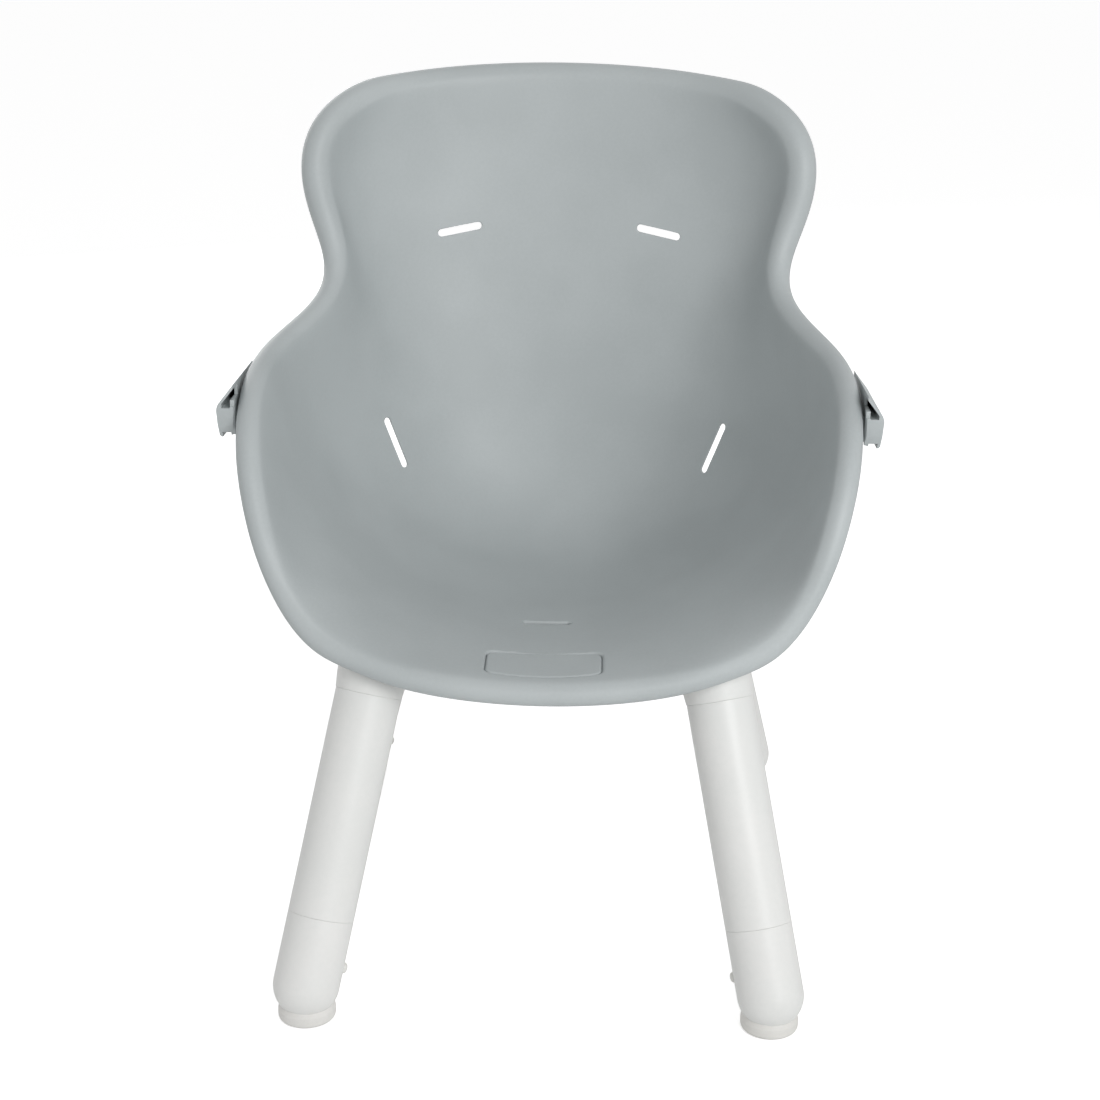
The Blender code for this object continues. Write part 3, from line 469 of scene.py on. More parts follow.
def roll_rows(rim, skirt):
    """For each rim point, the points that go over the rim, outwards and down a skirt."""
    band = []
    for index, (point, inside) in enumerate(rim):
        if index in (0, len(rim) - 1):
            along = Vector((1 if index == 0 else -1, 0, 0))
        else:
            along = (rim[index + 1][0] - rim[index - 1][0]).normalized()
        wall = point - inside
        wall = (wall - wall.dot(along) * along).normalized()
        outward = along.cross(wall)
        radius = roll_radius(point.z)
        ring = [point.copy()]
        for degrees in roll_turns:
            turn = math.radians(degrees)
            ring.append(point + radius * (math.sin(turn) * wall + (1 - math.cos(turn)) * outward))
        ring.append(ring[-1] - skirt * wall)
        band.append(ring)
    return band


print("Rim:", len(rim_with_neighbours(rows)), "points on each half")

# %% [markdown]
# ## Laying the cage
# A grid primitive has its points in rows, so it can be laid over the stations like a net. A second grid is
# laid over the roll. Joined and merged, the two make one coarse cage of half the seat. Mirror makes it
# whole and Subdivision Surface rounds it. The roll's faces are marked, so that the dished field can be
# found again without them. Where field and roll meet, the edges get a crease, because the real moulding
# has a clear line there that the light breaks on.

# %% Cage of the seat
weld = 0.00001
rim_crease = 0.55


def lay_grid(name, rows, mark):
    """A grid primitive with its points laid on rows of places, its faces marked with a number."""
    bpy.ops.object.select_all(action="DESELECT")
    bpy.ops.mesh.primitive_grid_add(x_subdivisions=len(rows[0]) - 1, y_subdivisions=len(rows) - 1, size=1)
    grid = bpy.context.object
    grid.name = name
    for vert, place in zip(grid.data.vertices, (place for row in rows for place in row)):
        vert.co = place
    marks = grid.data.attributes.new("roll", "INT", "FACE")
    marks.data.foreach_set("value", [mark] * len(grid.data.polygons))
    return grid


def crease_rim(mesh):
    """Creases the edges where an unmarked face meets a marked one."""
    marks = mesh.attributes["roll"].data
    beside = {}
    for face in mesh.polygons:
        for key in face.edge_keys:
            beside.setdefault(key, set()).add(marks[face.index].value)
    creases = mesh.attributes.new("crease_edge", "FLOAT", "EDGE")
    creases.data.foreach_set("value", [rim_crease * (len(beside[edge.key]) - 1) for edge in mesh.edges])


def weld_and_close():
    """Merges points that lie together, turns every face the same way and leaves edit mode."""
    bpy.ops.mesh.select_all(action="SELECT")
    bpy.ops.mesh.remove_doubles(threshold=weld)
    bpy.ops.mesh.normals_make_consistent(inside=False)
    bpy.ops.object.mode_set(mode="OBJECT")


def seat_cage(name, skirt):
    """The seat's whole surface, with its roll and a skirt of a chosen length."""
    cage = lay_grid(name, rows, 0)
    roll = lay_grid("roll", roll_rows(rim_with_neighbours(rows), skirt), 1)
    only(cage)
    roll.select_set(True)
    bpy.ops.object.join()
    bpy.ops.object.mode_set(mode="EDIT")
    weld_and_close()
    if cage.data.polygons[0].normal.z < 0:
        cage.data.flip_normals()
    crease_rim(cage.data)
    modify(cage, "other half", "MIRROR", merge_threshold=weld)
    modify(cage, "smooth", "SUBSURF", levels=2, render_levels=2)
    apply_modifiers(cage)
    cage.data.attributes.remove(cage.data.attributes["crease_edge"])
    return cage


seat_surface = seat_cage("seat_surface", roll_skirt)
print("Seat surface:", len(seat_surface.data.polygons), "faces")

# %% [markdown]
# ## The field and its depth
# Slots, cover and base all have to follow the dished field of the seat. A copy without the roll is kept
# for that, with a search tree that a ray can be cast at. The second helper makes the solid that fills the
# bucket down to a chosen depth below the field: its rim is drawn to one point above the pan. Cutting a
# piece with that solid fits it to the seat's underside.

# %% Field, ray casts and bucket room
seat_middle_shares = (0, 0.21, 0.71)

field = copy_of(seat_surface, "seat_field")
only(field)
bpy.context.tool_settings.mesh_select_mode = (False, False, True)
for face, mark in zip(field.data.polygons, field.data.attributes["roll"].data):
    face.select = mark.value == 1
bpy.ops.object.mode_set(mode="EDIT")
bpy.ops.mesh.delete(type="FACE")
bpy.ops.object.mode_set(mode="OBJECT")
bpy.context.view_layer.update()
field_tree = BVHTree.FromObject(field, bpy.context.evaluated_depsgraph_get())


def on_field(origin, draw):
    """Where a ray against the draw direction meets the field, and how thick the wall is along it."""
    reach = shell_rise
    hit, normal, _, _ = field_tree.ray_cast(origin + reach * draw, -draw)
    return hit, shell_wall / abs(normal.dot(draw))


def bucket_room(name, depth):
    """The solid that fills the bucket down to a depth below its field."""
    room = copy_of(field, name)
    for vert, normal in [(vert, vert.normal.copy()) for vert in room.data.vertices]:
        vert.co -= depth * normal
    only(room)
    bpy.ops.object.mode_set(mode="EDIT")
    bpy.ops.mesh.select_mode(type="EDGE")
    bpy.ops.mesh.select_all(action="DESELECT")
    bpy.ops.mesh.select_non_manifold()
    bpy.ops.mesh.extrude_edges_move()
    bpy.ops.transform.resize(value=(0, 0, 0), center_override=seat_place(*seat_middle_shares))
    weld_and_close()
    return room


print("Field:", len(field.data.polygons), "faces")

# %% [markdown]
# ## The wall
# Solidify gives the surface its wall of three and a half millimetres, on the side away from the child.
# One more subdivision afterwards rounds the skirt's edge, which is where fingers meet it.

# %% Shell wall
shell = copy_of(seat_surface, "moulded_seat_shell")
modify(shell, "wall", "SOLIDIFY", thickness=shell_wall, offset=-1)
modify(shell, "round edge", "SUBSURF", levels=1, render_levels=1)
apply_modifiers(shell)
print("Shell:", len(shell.data.polygons), "faces")

# %% [markdown]
# ## Lofted solids
# A moulded slot has soft lips, because a sharp edge in a mould would cut the webbing and the child. A
# bevel on a cut this dense would tear, so the lips are in the cutter: a prism whose outline spreads as it
# reaches the surface. The loft starts as one flat face and is extruded ring by ring. An extrusion leaves
# each new point on top of the one that it came from, so the nearest point is the one to move, and the
# prism can't twist.

# %% Loft and outline helpers
def loft(name, rings):
    """A closed solid that is extruded from one ring of points to the next."""
    bpy.ops.object.select_all(action="DESELECT")
    bpy.ops.mesh.primitive_circle_add(vertices=len(rings[0]), fill_type="NGON")
    obj = bpy.context.object
    obj.name = name
    for vert, place in zip(obj.data.vertices, rings[0]):
        vert.co = place
    bpy.ops.object.mode_set(mode="EDIT")
    bpy.ops.mesh.select_mode(type="FACE")
    bpy.ops.mesh.select_all(action="SELECT")
    for ring_before, ring in zip(rings, rings[1:]):
        bpy.ops.mesh.extrude_region_move()
        mesh = bmesh.from_edit_mesh(obj.data)
        ends = [vert for vert in mesh.verts if vert.select]
        for before, place in zip(ring_before, ring):
            end = min(ends, key=lambda vert: (vert.co - Vector(before)).length)
            end.co = place
            ends.remove(end)
        bmesh.update_edit_mesh(obj.data)
    bpy.ops.mesh.select_all(action="SELECT")
    bpy.ops.mesh.normals_make_consistent(inside=False)
    bpy.ops.object.mode_set(mode="OBJECT")
    return obj


def arc(centre, radius, start, end, steps):
    """Points of an arc, its angles in degrees, both ends included."""
    angles = [math.radians(start + (end - start) * i / steps) for i in range(steps + 1)]
    return [(centre[0] + radius * math.cos(a), centre[1] + radius * math.sin(a)) for a in angles]


lip_turns = (0, 25, 50, 70, 90)


def lip(radius):
    """Pairs of depth and widening that round the lip of a cut, from the surface down."""
    turns = [math.radians(turn) for turn in lip_turns]
    return [(radius * (1 - math.cos(turn)), radius * (1 - math.sin(turn))) for turn in turns]


# %% [markdown]
# ## Harness slots
# Two slots behind the shoulders, two at the waist and one between the legs take the webbing of a harness.
# Each is a stadium, a bar with round ends. It is drawn half way between the wall's own direction and
# straight back, as a mould's sliding core would be, so the white studio shows through it from the front.

# %% Slots
slot_width = 0.006
slot_lip = 0.0007
crotch_slot_lip = 0.0018
overrun = 0.010
sides = (("left", 1), ("right", -1))
round_end_steps = 10
# Length, distance from the middle, height, and tilt in degrees
slot_sizes = {
    "shoulder": (0.036, 0.0795, 0.4875, -10.8),
    "waist": (0.042, 0.1255, 0.329, 71),
}
crotch_slot_length = 0.034
crotch_slot_y = -0.071


def stadium(length, width, widening):
    """A bar with round ends, drawn outwards by a widening."""
    radius = width / 2 + widening
    reach = length / 2 - width / 2
    right_end = arc((reach, 0), radius, -90, 90, round_end_steps)
    return right_end + arc((-reach, 0), radius, 90, 270, round_end_steps)


def cut_slot(name, length, centre, draw, along, near_lip=slot_lip):
    """Cuts a slot with soft lips on both faces of the wall."""
    across = draw.cross(along)
    _, thickness = on_field(centre, draw)
    far = [(thickness - depth, widening) for depth, widening in reversed(lip(slot_lip))]
    steps = [(-overrun, near_lip), *lip(near_lip), *far, (thickness + overrun, slot_lip)]
    rings = []
    for depth, widening in steps:
        ring = []
        for u, v in stadium(length, slot_width, widening):
            hit, _ = on_field(centre + u * along + v * across, draw)
            ring.append(hit - depth * draw)
        rings.append(ring)
    combine(shell, loft(name, rings))


for label, (length, x, z, tilt) in slot_sizes.items():
    for side, sign in sides:
        hit, normal, _, _ = field_tree.ray_cast(Vector((sign * x, seat_front, z)), Vector((0, 1, 0)))
        draw = (normal + Vector((0, -1, 0))).normalized()
        angle = math.radians(tilt)
        direction = Vector((sign * math.cos(angle), 0, math.sin(angle)))
        along = (direction - direction.dot(draw) * draw).normalized()
        cut_slot(f"{label}_slot_{side}", length, hit, draw, along)
up = Vector((0, 0, 1))
hit, _ = on_field(Vector((0, crotch_slot_y, seat_height)), up)
cut_slot("crotch_slot", crotch_slot_length, hit, up, Vector((1, 0, 0)), crotch_slot_lip)
print("Shell with slots:", len(shell.data.polygons), "faces")

# %% [markdown]
# ## Post socket and its cover
# Behind the front lip the shell has an opening for the foot of a front post. In the photograph a flush
# cover closes it, with a fine dark gap all round. The opening gets a soft lip, a ledge that the cover
# rests on and a short wall below. The cover is cut from the same field, so it follows the pan's curve,
# and a clip skirt under it holds it in the ledge.

# %% Cover outline
cover_width = 0.080
cover_rear_y = -0.136
cover_depth = 0.033
cover_crown = 0.004
cover_corner = 0.007
cover_side_turn = 70
crown_steps = 24
corner_steps = 8
cover_thickness = 0.002
cover_gap = 0.0005
cover_sink = 0.0004
cover_lip = 0.0016
opening_lip = 0.0020
ledge_width = 0.003
ledge_thickness = 0.0022
socket_wall = 0.002
socket_depth = 0.013
clip_depth = 0.009
clip_wall = 0.0016
joint_gap = 0.0003


def cover_outline(inset):
    """The cover in plan: straight at the rear, crowned at the front, drawn in by an inset."""
    half = cover_width / 2 - inset
    corner = cover_corner - inset
    rear = cover_rear_y - inset
    front = cover_rear_y - cover_depth + inset
    crown_radius = (half**2 + cover_crown**2) / (2 * cover_crown)
    crown_angle = math.degrees(math.asin((half - corner) / crown_radius))
    crown_middle = (0, front - cover_crown + crown_radius)
    crown = arc(crown_middle, crown_radius, -90 - crown_angle, -90 + crown_angle, crown_steps)
    side_x = half - corner
    side_y = crown[-1][1] + corner
    return (
        crown
        + arc((side_x, side_y), corner, -cover_side_turn, 0, corner_steps - 1)
        + arc((side_x, rear - corner), corner, 0, 90, corner_steps)
        + arc((-side_x, rear - corner), corner, 90, 180, corner_steps)
        + arc((-side_x, side_y), corner, 180, 180 + cover_side_turn, corner_steps - 1)
    )


def cover_prism(name, steps):
    """A prism through the cover's place, its outline inset by a chosen amount at each depth."""
    rings = []
    for depth, inset in steps:
        outline = cover_outline(inset)
        rings.append([on_field(Vector((x, y, seat_height)), up)[0] - depth * up for x, y in outline])
    return loft(name, rings)


print("Cover outline:", len(cover_outline(0)), "points")

# %% Post socket
opening_steps = [(depth, -widening) for depth, widening in lip(opening_lip)]
combine(
    shell,
    cover_prism("post_opening", [(-overrun, -opening_lip), *opening_steps, (shell_wall + overrun, 0)]),
)
ledge_top = cover_sink + cover_thickness + joint_gap
ledge_foot = ledge_top + ledge_thickness
socket = cover_prism("post_socket", [(ledge_top, -socket_wall), (socket_depth, -socket_wall)])
ledge_steps = [(-overrun, ledge_width), (ledge_foot, ledge_width)]
well_steps = [(ledge_foot, joint_gap), (socket_depth + overrun, joint_gap)]
combine(socket, cover_prism("socket_room", ledge_steps + well_steps))
combine(shell, socket, "UNION")
print("Shell with socket:", len(shell.data.polygons), "faces")

# %% Socket cover
cover = copy_of(field, "clip_in_socket_cover")
cover.data.transform(Matrix.Translation((0, 0, -cover_sink)))
modify(cover, "skin", "SOLIDIFY", thickness=cover_thickness, offset=-1)
modify(cover, "smooth", "SUBSURF", levels=1, render_levels=1)
rounded_edge = [(cover_sink + depth, cover_gap + inset) for depth, inset in lip(cover_lip)]
combine(
    cover,
    cover_prism("cover_edge", [(-overrun, cover_gap + cover_lip), *rounded_edge, (overrun, cover_gap)]),
    "INTERSECT",
)
skirt_inset = ledge_width + joint_gap
skirt = cover_prism("clip_skirt", [(cover_thickness / 2, skirt_inset), (clip_depth, skirt_inset)])
combine(
    skirt,
    cover_prism(
        "skirt_room",
        [(cover_thickness, skirt_inset + clip_wall), (clip_depth + overrun, skirt_inset + clip_wall)],
    ),
)
combine(cover, skirt, "UNION")
print("Cover:", len(cover.data.polygons), "faces")

# %% [markdown]
# ## Finishing a piece
# Each finished piece stands for its node of the frame: it takes that node's body, so it moves with it.
# Smoothing by angle keeps real edges crisp. Weighted Normal then lets the large faces decide the shading, so
# the narrow faces along a cut don't smudge the wall beside them.

# %% Handing over a piece
bodies = frame["record"]["behaviour"]["bodies"]
body_of_node = {node: body for body, nodes in bodies.items() for node in nodes}
sharp_degrees = 38


def finish_piece(piece, node, finish):
    """Shades a piece, gives it its material and lets it stand for its node."""
    piece.data.materials.clear()
    piece.data.materials.append(finish)
    only(piece)
    bpy.ops.object.shade_smooth_by_angle(angle=math.radians(sharp_degrees))
    modify(piece, "weighted", "WEIGHTED_NORMAL", keep_sharp=True)
    apply_modifiers(piece)
    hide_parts(node)
    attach(piece, body_of_node[node])


# %% [markdown]
# ## Pads and bosses under the shell
# Seen from outside, the arms carry a flat pad each, where a tray bracket is screwed on, and six bosses
# under the pan take the base's screws. They grow out of the wall, so each is first cut back to the middle
# of the wall and then joined to it.

# %% Pads and bosses
bracket_inner_x = 0.2187
bracket_top = 0.4180
bracket_height = 0.0385
bracket_front_y = -0.086
bracket_length = 0.084
bracket_screw_spacing = 0.034
bracket_screw_up_share = 0.30
pad_height = 0.016
pad_length = 0.054
pad_corner = 0.003
screw_radius = 0.002
boss_radius = 0.006
base_bottom = 0.2135
base_plate = 0.003
base_front_y = -0.128
base_rear_y = 0.118
base_half_width = 0.108
base_screw_x = 0.072
base_screw_y_shares = (0.10, 0.46, 0.86)
base_screw_length = 0.016
bracket_screw_length = 0.012
fine_steps = 32
parallel_share = 0.9


def block(name, low, high, corner=0, axis=2, segments=6):
    """A box between two corners, its edges along one axis rounded."""
    low, high = Vector(low), Vector(high)
    bpy.ops.object.select_all(action="DESELECT")
    bpy.ops.mesh.primitive_cube_add(size=1, location=(low + high) / 2, scale=high - low)
    obj = bpy.context.object
    obj.name = name
    bpy.ops.object.transform_apply(location=True, rotation=True, scale=True)
    if corner:
        bpy.context.tool_settings.mesh_select_mode = (False, True, False)
        bpy.ops.object.mode_set(mode="EDIT")
        bpy.ops.mesh.select_all(action="DESELECT")
        bpy.ops.object.mode_set(mode="OBJECT")
        for edge in obj.data.edges:
            first, second = (obj.data.vertices[i].co for i in edge.vertices)
            edge.select = abs((second - first).normalized()[axis]) > parallel_share
        bpy.ops.object.mode_set(mode="EDIT")
        bpy.ops.mesh.bevel(offset=corner, segments=segments, affect="EDGES")
        bpy.ops.object.mode_set(mode="OBJECT")
    return obj


def rod(name, radius, start, end, steps=fine_steps):
    """A cylinder from one point to another."""
    start, end = Vector(start), Vector(end)
    bpy.ops.object.select_all(action="DESELECT")
    bpy.ops.mesh.primitive_cylinder_add(
        vertices=steps, radius=radius, depth=(end - start).length, location=(start + end) / 2,
        rotation=(end - start).to_track_quat("Z", "Y").to_euler(),
    )
    obj = bpy.context.object
    obj.name = name
    bpy.ops.object.transform_apply(location=True, rotation=True, scale=True)
    return obj


def drill(target, radius, start, end):
    """A round hole from one point to another."""
    combine(target, rod("drill", radius, start, end))


wall_middle = bucket_room("wall_middle", shell_wall / 2)
bracket_screw_z = bracket_top - (1 - bracket_screw_up_share) * bracket_height
pad_middle = Vector((bracket_inner_x, bracket_front_y + bracket_length / 2, bracket_screw_z))
bracket_screws = {}
for side, sign in sides:
    low_x, high_x = sorted((sign * shell_half_width / 2, sign * (pad_middle.x - joint_gap)))
    pad = block(
        f"pad_{side}",
        (low_x, pad_middle.y - pad_length / 2, pad_middle.z - pad_height / 2),
        (high_x, pad_middle.y + pad_length / 2, pad_middle.z + pad_height / 2),
        corner=pad_corner, axis=0,
    )
    combine(pad, wall_middle, keep_tool=True)
    combine(shell, pad, "UNION")
    for end, offset in (("front", -0.5), ("rear", 0.5)):
        y = pad_middle.y + offset * bracket_screw_spacing
        spot = Vector((sign * pad_middle.x, y, pad_middle.z))
        bracket_screws[f"{end}_{side}"] = spot
        inward = Vector((-sign, 0, 0))
        start, tip = spot - overrun * inward, spot + bracket_screw_length * inward
        drill(shell, screw_radius + joint_gap, start, tip)

base_screws = {}
boss_foot = base_bottom + base_plate + joint_gap
for end, share in zip(("front", "middle", "rear"), base_screw_y_shares):
    for side, sign in sides:
        x, y = sign * base_screw_x, base_front_y + share * (base_rear_y - base_front_y)
        base_screws[f"{end}_{side}"] = Vector((x, y, base_bottom))
        boss = rod(f"boss_{end}_{side}", boss_radius, (x, y, boss_foot), (x, y, seat_height + overrun * 5))
        combine(boss, wall_middle, keep_tool=True)
        combine(shell, boss, "UNION")
        start, tip = (x, y, boss_foot - overrun / 4), (x, y, base_bottom + base_screw_length)
        drill(shell, screw_radius + joint_gap, start, tip)
finish_piece(shell, "seat_shell", grey_polypropylene)
finish_piece(cover, "crotch_socket_cover", grey_polypropylene)
print("Finished shell:", len(shell.data.polygons), "faces")

# %% [markdown]
# ## Turned pieces
# Legs, feet, buttons and screws are round. Each is a profile, half of its section, that is spun about its
# axis. A profile's corners are given with a radius each, because nothing that comes out of a mould has a
# truly sharp edge, and a thin bright line along an edge is what tells the eye that a piece is real.

# %% Profiles and spinning
def rounded(corners, steps=4):
    """An outline's points, with each corner (x, y, radius) rounded."""
    points = []
    for index, (x, y, radius) in enumerate(corners):
        here = Vector((x, y))
        if radius == 0:
            points.append(here)
            continue
        back = (Vector(corners[index - 1][:2]) - here).normalized()
        ahead = (Vector(corners[(index + 1) % len(corners)][:2]) - here).normalized()
        half = back.angle(ahead) / 2
        centre = here + (back + ahead).normalized() * radius / math.sin(half)
        first = here + back * radius / math.tan(half) - centre
        turn = first.angle_signed(here + ahead * radius / math.tan(half) - centre)
        for step in range(steps + 1):
            spun = first.copy()
            spun.rotate(Matrix.Rotation(-turn * step / steps, 2))
            points.append(centre + spun)
    return points


def spin(name, profile, placement, steps=96):
    """A solid of a closed profile of (radius, height), spun about the local Z axis of a placement."""
    bpy.ops.object.select_all(action="DESELECT")
    bpy.ops.mesh.primitive_circle_add(vertices=len(profile), fill_type="NOTHING")
    obj = bpy.context.object
    obj.name = name
    for vert, (radius, height) in zip(obj.data.vertices, profile):
        vert.co = (radius, 0, height)
    bpy.ops.object.mode_set(mode="EDIT")
    bpy.ops.mesh.select_all(action="SELECT")
    bpy.ops.mesh.spin(steps=steps, angle=2 * math.pi, center=(0, 0, 0), axis=(0, 0, 1))
    bpy.ops.mesh.select_all(action="SELECT")
    bpy.ops.mesh.remove_doubles(threshold=weld)
    bpy.ops.mesh.delete_loose(use_verts=True, use_edges=True, use_faces=False)
    bpy.ops.mesh.select_all(action="SELECT")
    bpy.ops.mesh.normals_make_consistent(inside=False)
    bpy.ops.object.mode_set(mode="OBJECT")
    obj.data.transform(placement)
    return obj


# %% [markdown]
# ## Where the legs are
# Each leg leans in and towards the middle of the chair as it rises. Its frame has its origin on the
# collar's face and its local Z axis up the leg. Everything on a leg is placed in that frame.

# %% Leg frames
front_foot = (0.1595, -0.2085)
rear_foot = (0.1680, 0.2085)
front_leans = (0.202, 0.362)
rear_leans = (0.247, -0.405)
leg_length = 0.2043
lower_leg_length = 0.048
leg_radius = 0.023
leg_wall = 0.003
foot_height = 0.0113
neck_radius = 0.0186


def placed(place, z_axis, x_axis):
    """A placement whose local Z and X run along two directions that are square to each other."""
    made = Matrix((x_axis, z_axis.cross(x_axis), z_axis)).transposed().to_4x4()
    made.translation = place
    return made


ball_height = math.sqrt(leg_radius**2 - neck_radius**2)
leg_frames = {}
leg_ends = (("front", front_foot, front_leans), ("rear", rear_foot, rear_leans))
for end, (x, y), (lean_in, lean_back) in leg_ends:
    for side, sign in sides:
        ball = Vector((sign * x, y, foot_height + ball_height))
        axis = Vector((-sign * lean_in, lean_back, 1)).normalized()
        inward = Vector((-sign, 0, 0))
        x_axis = (inward - inward.dot(axis) * axis).normalized()
        leg_frames[f"{end}_{side}"] = (ball, placed(ball + leg_length * axis, axis, x_axis))
print("Legs:", {name: [round(c, 3) for c in place.translation] for name, (_, place) in leg_frames.items()})

# %% [markdown]
# ## Snap buttons
# Each joint of a leg is locked by a nylon button that a leaf spring pushes out through a hole in both
# tubes. The button has a flange inside the bore, so that it can't fall out, and a domed tip that a thumb
# can press.

# %% Buttons
spigot_wall = 0.003
spigot_radius = leg_radius - leg_wall - joint_gap
bore_radius = spigot_radius - spigot_wall
button_from_joint = 0.033
button_radius = 0.004
button_proud = 0.0025
button_flange_radius = 0.006
button_flange_thickness = 0.0015
button_dome_drop = 0.0004
button_dome_round = 0.0030
button_flange_round = 0.0003
button_round_steps = 6
button_turns = {"upper": 180, "lower": 100}

button_tip = leg_radius + button_proud
button_seat = math.sqrt(bore_radius**2 - button_flange_radius**2) - joint_gap
button_profile = rounded(
    [
        (0, button_tip, 0),
        (button_radius, button_tip - button_dome_drop, button_dome_round),
        (button_radius, button_seat, 0),
        (button_flange_radius, button_seat, button_flange_round),
        (button_flange_radius, button_seat - button_flange_thickness, button_flange_round),
        (0, button_seat - button_flange_thickness, 0),
    ],
    button_round_steps,
)


def button_place(leg, turn_degrees, distance):
    """A placement on the leg's axis, its local Z out through the button's hole."""
    ball, leg_frame = leg_frames[leg]
    turn = math.radians(turn_degrees - 90)
    middle = math.copysign(1, ball.x * ball.y)
    out = Vector((math.cos(turn), middle * math.sin(turn), 0))
    return leg_frame @ placed(-distance * up, out, up)


def drill_for_button(target, place):
    """A button's hole, from the leg's axis outwards."""
    start = place.translation
    drill(target, button_radius + joint_gap, start, start + (leg_radius + overrun) * place.col[2].xyz)


seam = leg_length - lower_leg_length
joints = {"upper": button_from_joint, "lower": seam + button_from_joint}
button_places = {}
for leg in leg_frames:
    for level, distance in joints.items():
        place = button_place(leg, button_turns[level], distance)
        button_places[f"{level}_button_{leg}"] = place
        button = spin(f"domed_{level}_button_{leg}", button_profile, place, fine_steps)
        finish_piece(button, f"{level}_button_{leg}", white_nylon)
print(len(button_places), "buttons")

# %% [markdown]
# ## Leg tubes
# The upper tube takes the base's spigot at its top and ends in a spigot of its own, and the lower tube
# slides over that and ends in a ball. The two outer faces meet in a seam that shows as one fine line.
# The ball is cut level just above the foot.

# %% Legs
upper_spigot_length = 0.055
lower_spigot_length = 0.045
spigot_end_room = 0.004
edge_round = 0.0003
seam_gap = 0.00005
ball_steps = 24
peg_radius = 0.006
peg_height = 0.008

step = -upper_spigot_length - spigot_end_room
spigot_end = -seam - lower_spigot_length
upper_profile = rounded(
    [
        (leg_radius, -seam_gap, edge_round),
        (leg_radius, -seam, edge_round),
        (spigot_radius, -seam, 0),
        (spigot_radius, spigot_end, edge_round * 2),
        (bore_radius, spigot_end, edge_round),
        (bore_radius, step - spigot_wall, 0),
        (leg_radius - leg_wall, step, 0),
        (leg_radius - leg_wall, -seam_gap, edge_round),
    ]
)
lower_top = -seam - seam_gap
lower_floor = lower_top - lower_spigot_length - spigot_end_room
lower_profile = (
    [(0, lower_floor)]
    + rounded(
        [
            (leg_radius - leg_wall, lower_floor, 0),
            (leg_radius - leg_wall, lower_top, edge_round),
            (leg_radius, lower_top, edge_round),
            (leg_radius, -leg_length, 0),
        ]
    )
    + arc((0, -leg_length), leg_radius, 0, -90, ball_steps)[1:]
)

for leg, (ball, leg_frame) in leg_frames.items():
    upper_tube = spin(f"upper_leg_tube_{leg}", upper_profile, leg_frame)
    lower_tube = spin(f"lower_leg_tube_{leg}", lower_profile, leg_frame)
    reach = 3 * leg_radius
    floor_cut = block(
        "floor_cut", (ball.x - reach, ball.y - reach, -reach),
        (ball.x + reach, ball.y + reach, foot_height + seam_gap),
    )
    combine(lower_tube, floor_cut)
    peg_top = (ball.x, ball.y, foot_height + peg_height + joint_gap)
    drill(lower_tube, peg_radius + joint_gap, (ball.x, ball.y, 0), peg_top)
    drill_for_button(upper_tube, button_places[f"upper_button_{leg}"])
    for tube in (upper_tube, lower_tube):
        drill_for_button(tube, button_places[f"lower_button_{leg}"])
    finish_piece(upper_tube, f"upper_leg_{leg}", white_polypropylene)
    finish_piece(lower_tube, f"lower_leg_{leg}", white_polypropylene)
print(len(leg_frames), "legs")

# %% [markdown]
# ## Feet
# A foot is a soft pad that grips the floor. It flares a little from the leg's neck to a rounded edge, and
# a peg holds it in the leg. Its sole has a shallow ring groove, the usual grip pattern on such pads.

# %% Feet
foot_radius = 0.0199
foot_edge = 0.0034
groove_radius = 0.011
groove_half_width = 0.0012
groove_depth = 0.0008
groove_round = 0.0002
peg_round = 0.001
neck_round = 0.0006
flare_round = 0.003
foot_round_steps = 6

foot_profile = rounded(
    [
        (0, foot_height + peg_height, 0),
        (peg_radius, foot_height + peg_height, peg_round),
        (peg_radius, foot_height, 0),
        (neck_radius, foot_height, neck_round),
        (foot_radius, foot_height - foot_edge, flare_round),
        (foot_radius, 0, foot_edge),
        (groove_radius + groove_half_width, 0, groove_round),
        (groove_radius + groove_half_width, groove_depth, groove_round),
        (groove_radius - groove_half_width, groove_depth, groove_round),
        (groove_radius - groove_half_width, 0, groove_round),
        (0, 0, 0),
    ],
    foot_round_steps,
)
for leg, (ball, _) in leg_frames.items():
    foot = spin(f"soft_foot_{leg}", foot_profile, Matrix.Translation((ball.x, ball.y, 0)))
    finish_piece(foot, f"foot_{leg}", white_elastomer)
print("Feet", round(2000 * foot_radius, 1), "mm across")

# %% [markdown]
# ## Seat base
# The base is a ribbed tray that is screwed up into the shell's bosses. At each corner a flared collar
# takes the top of a leg, and a spigot goes down into the tube. The tray and the collars run up to the
# shell's underside. Two solids trim them to fit: the one that fills the bucket to the middle of its wall,
# and a copy of the shell with its roll and skirt, thicker by a gap on both sides.

# %% Base tray
base_wall = 0.003
base_top_share = 0.19
base_corner = 0.020
base_corner_steps = 12
base_rib = 0.0022
base_rib_x = 0.034
base_rib_y_shares = (0.20, 0.52, 0.80)
join_lap = 0.001

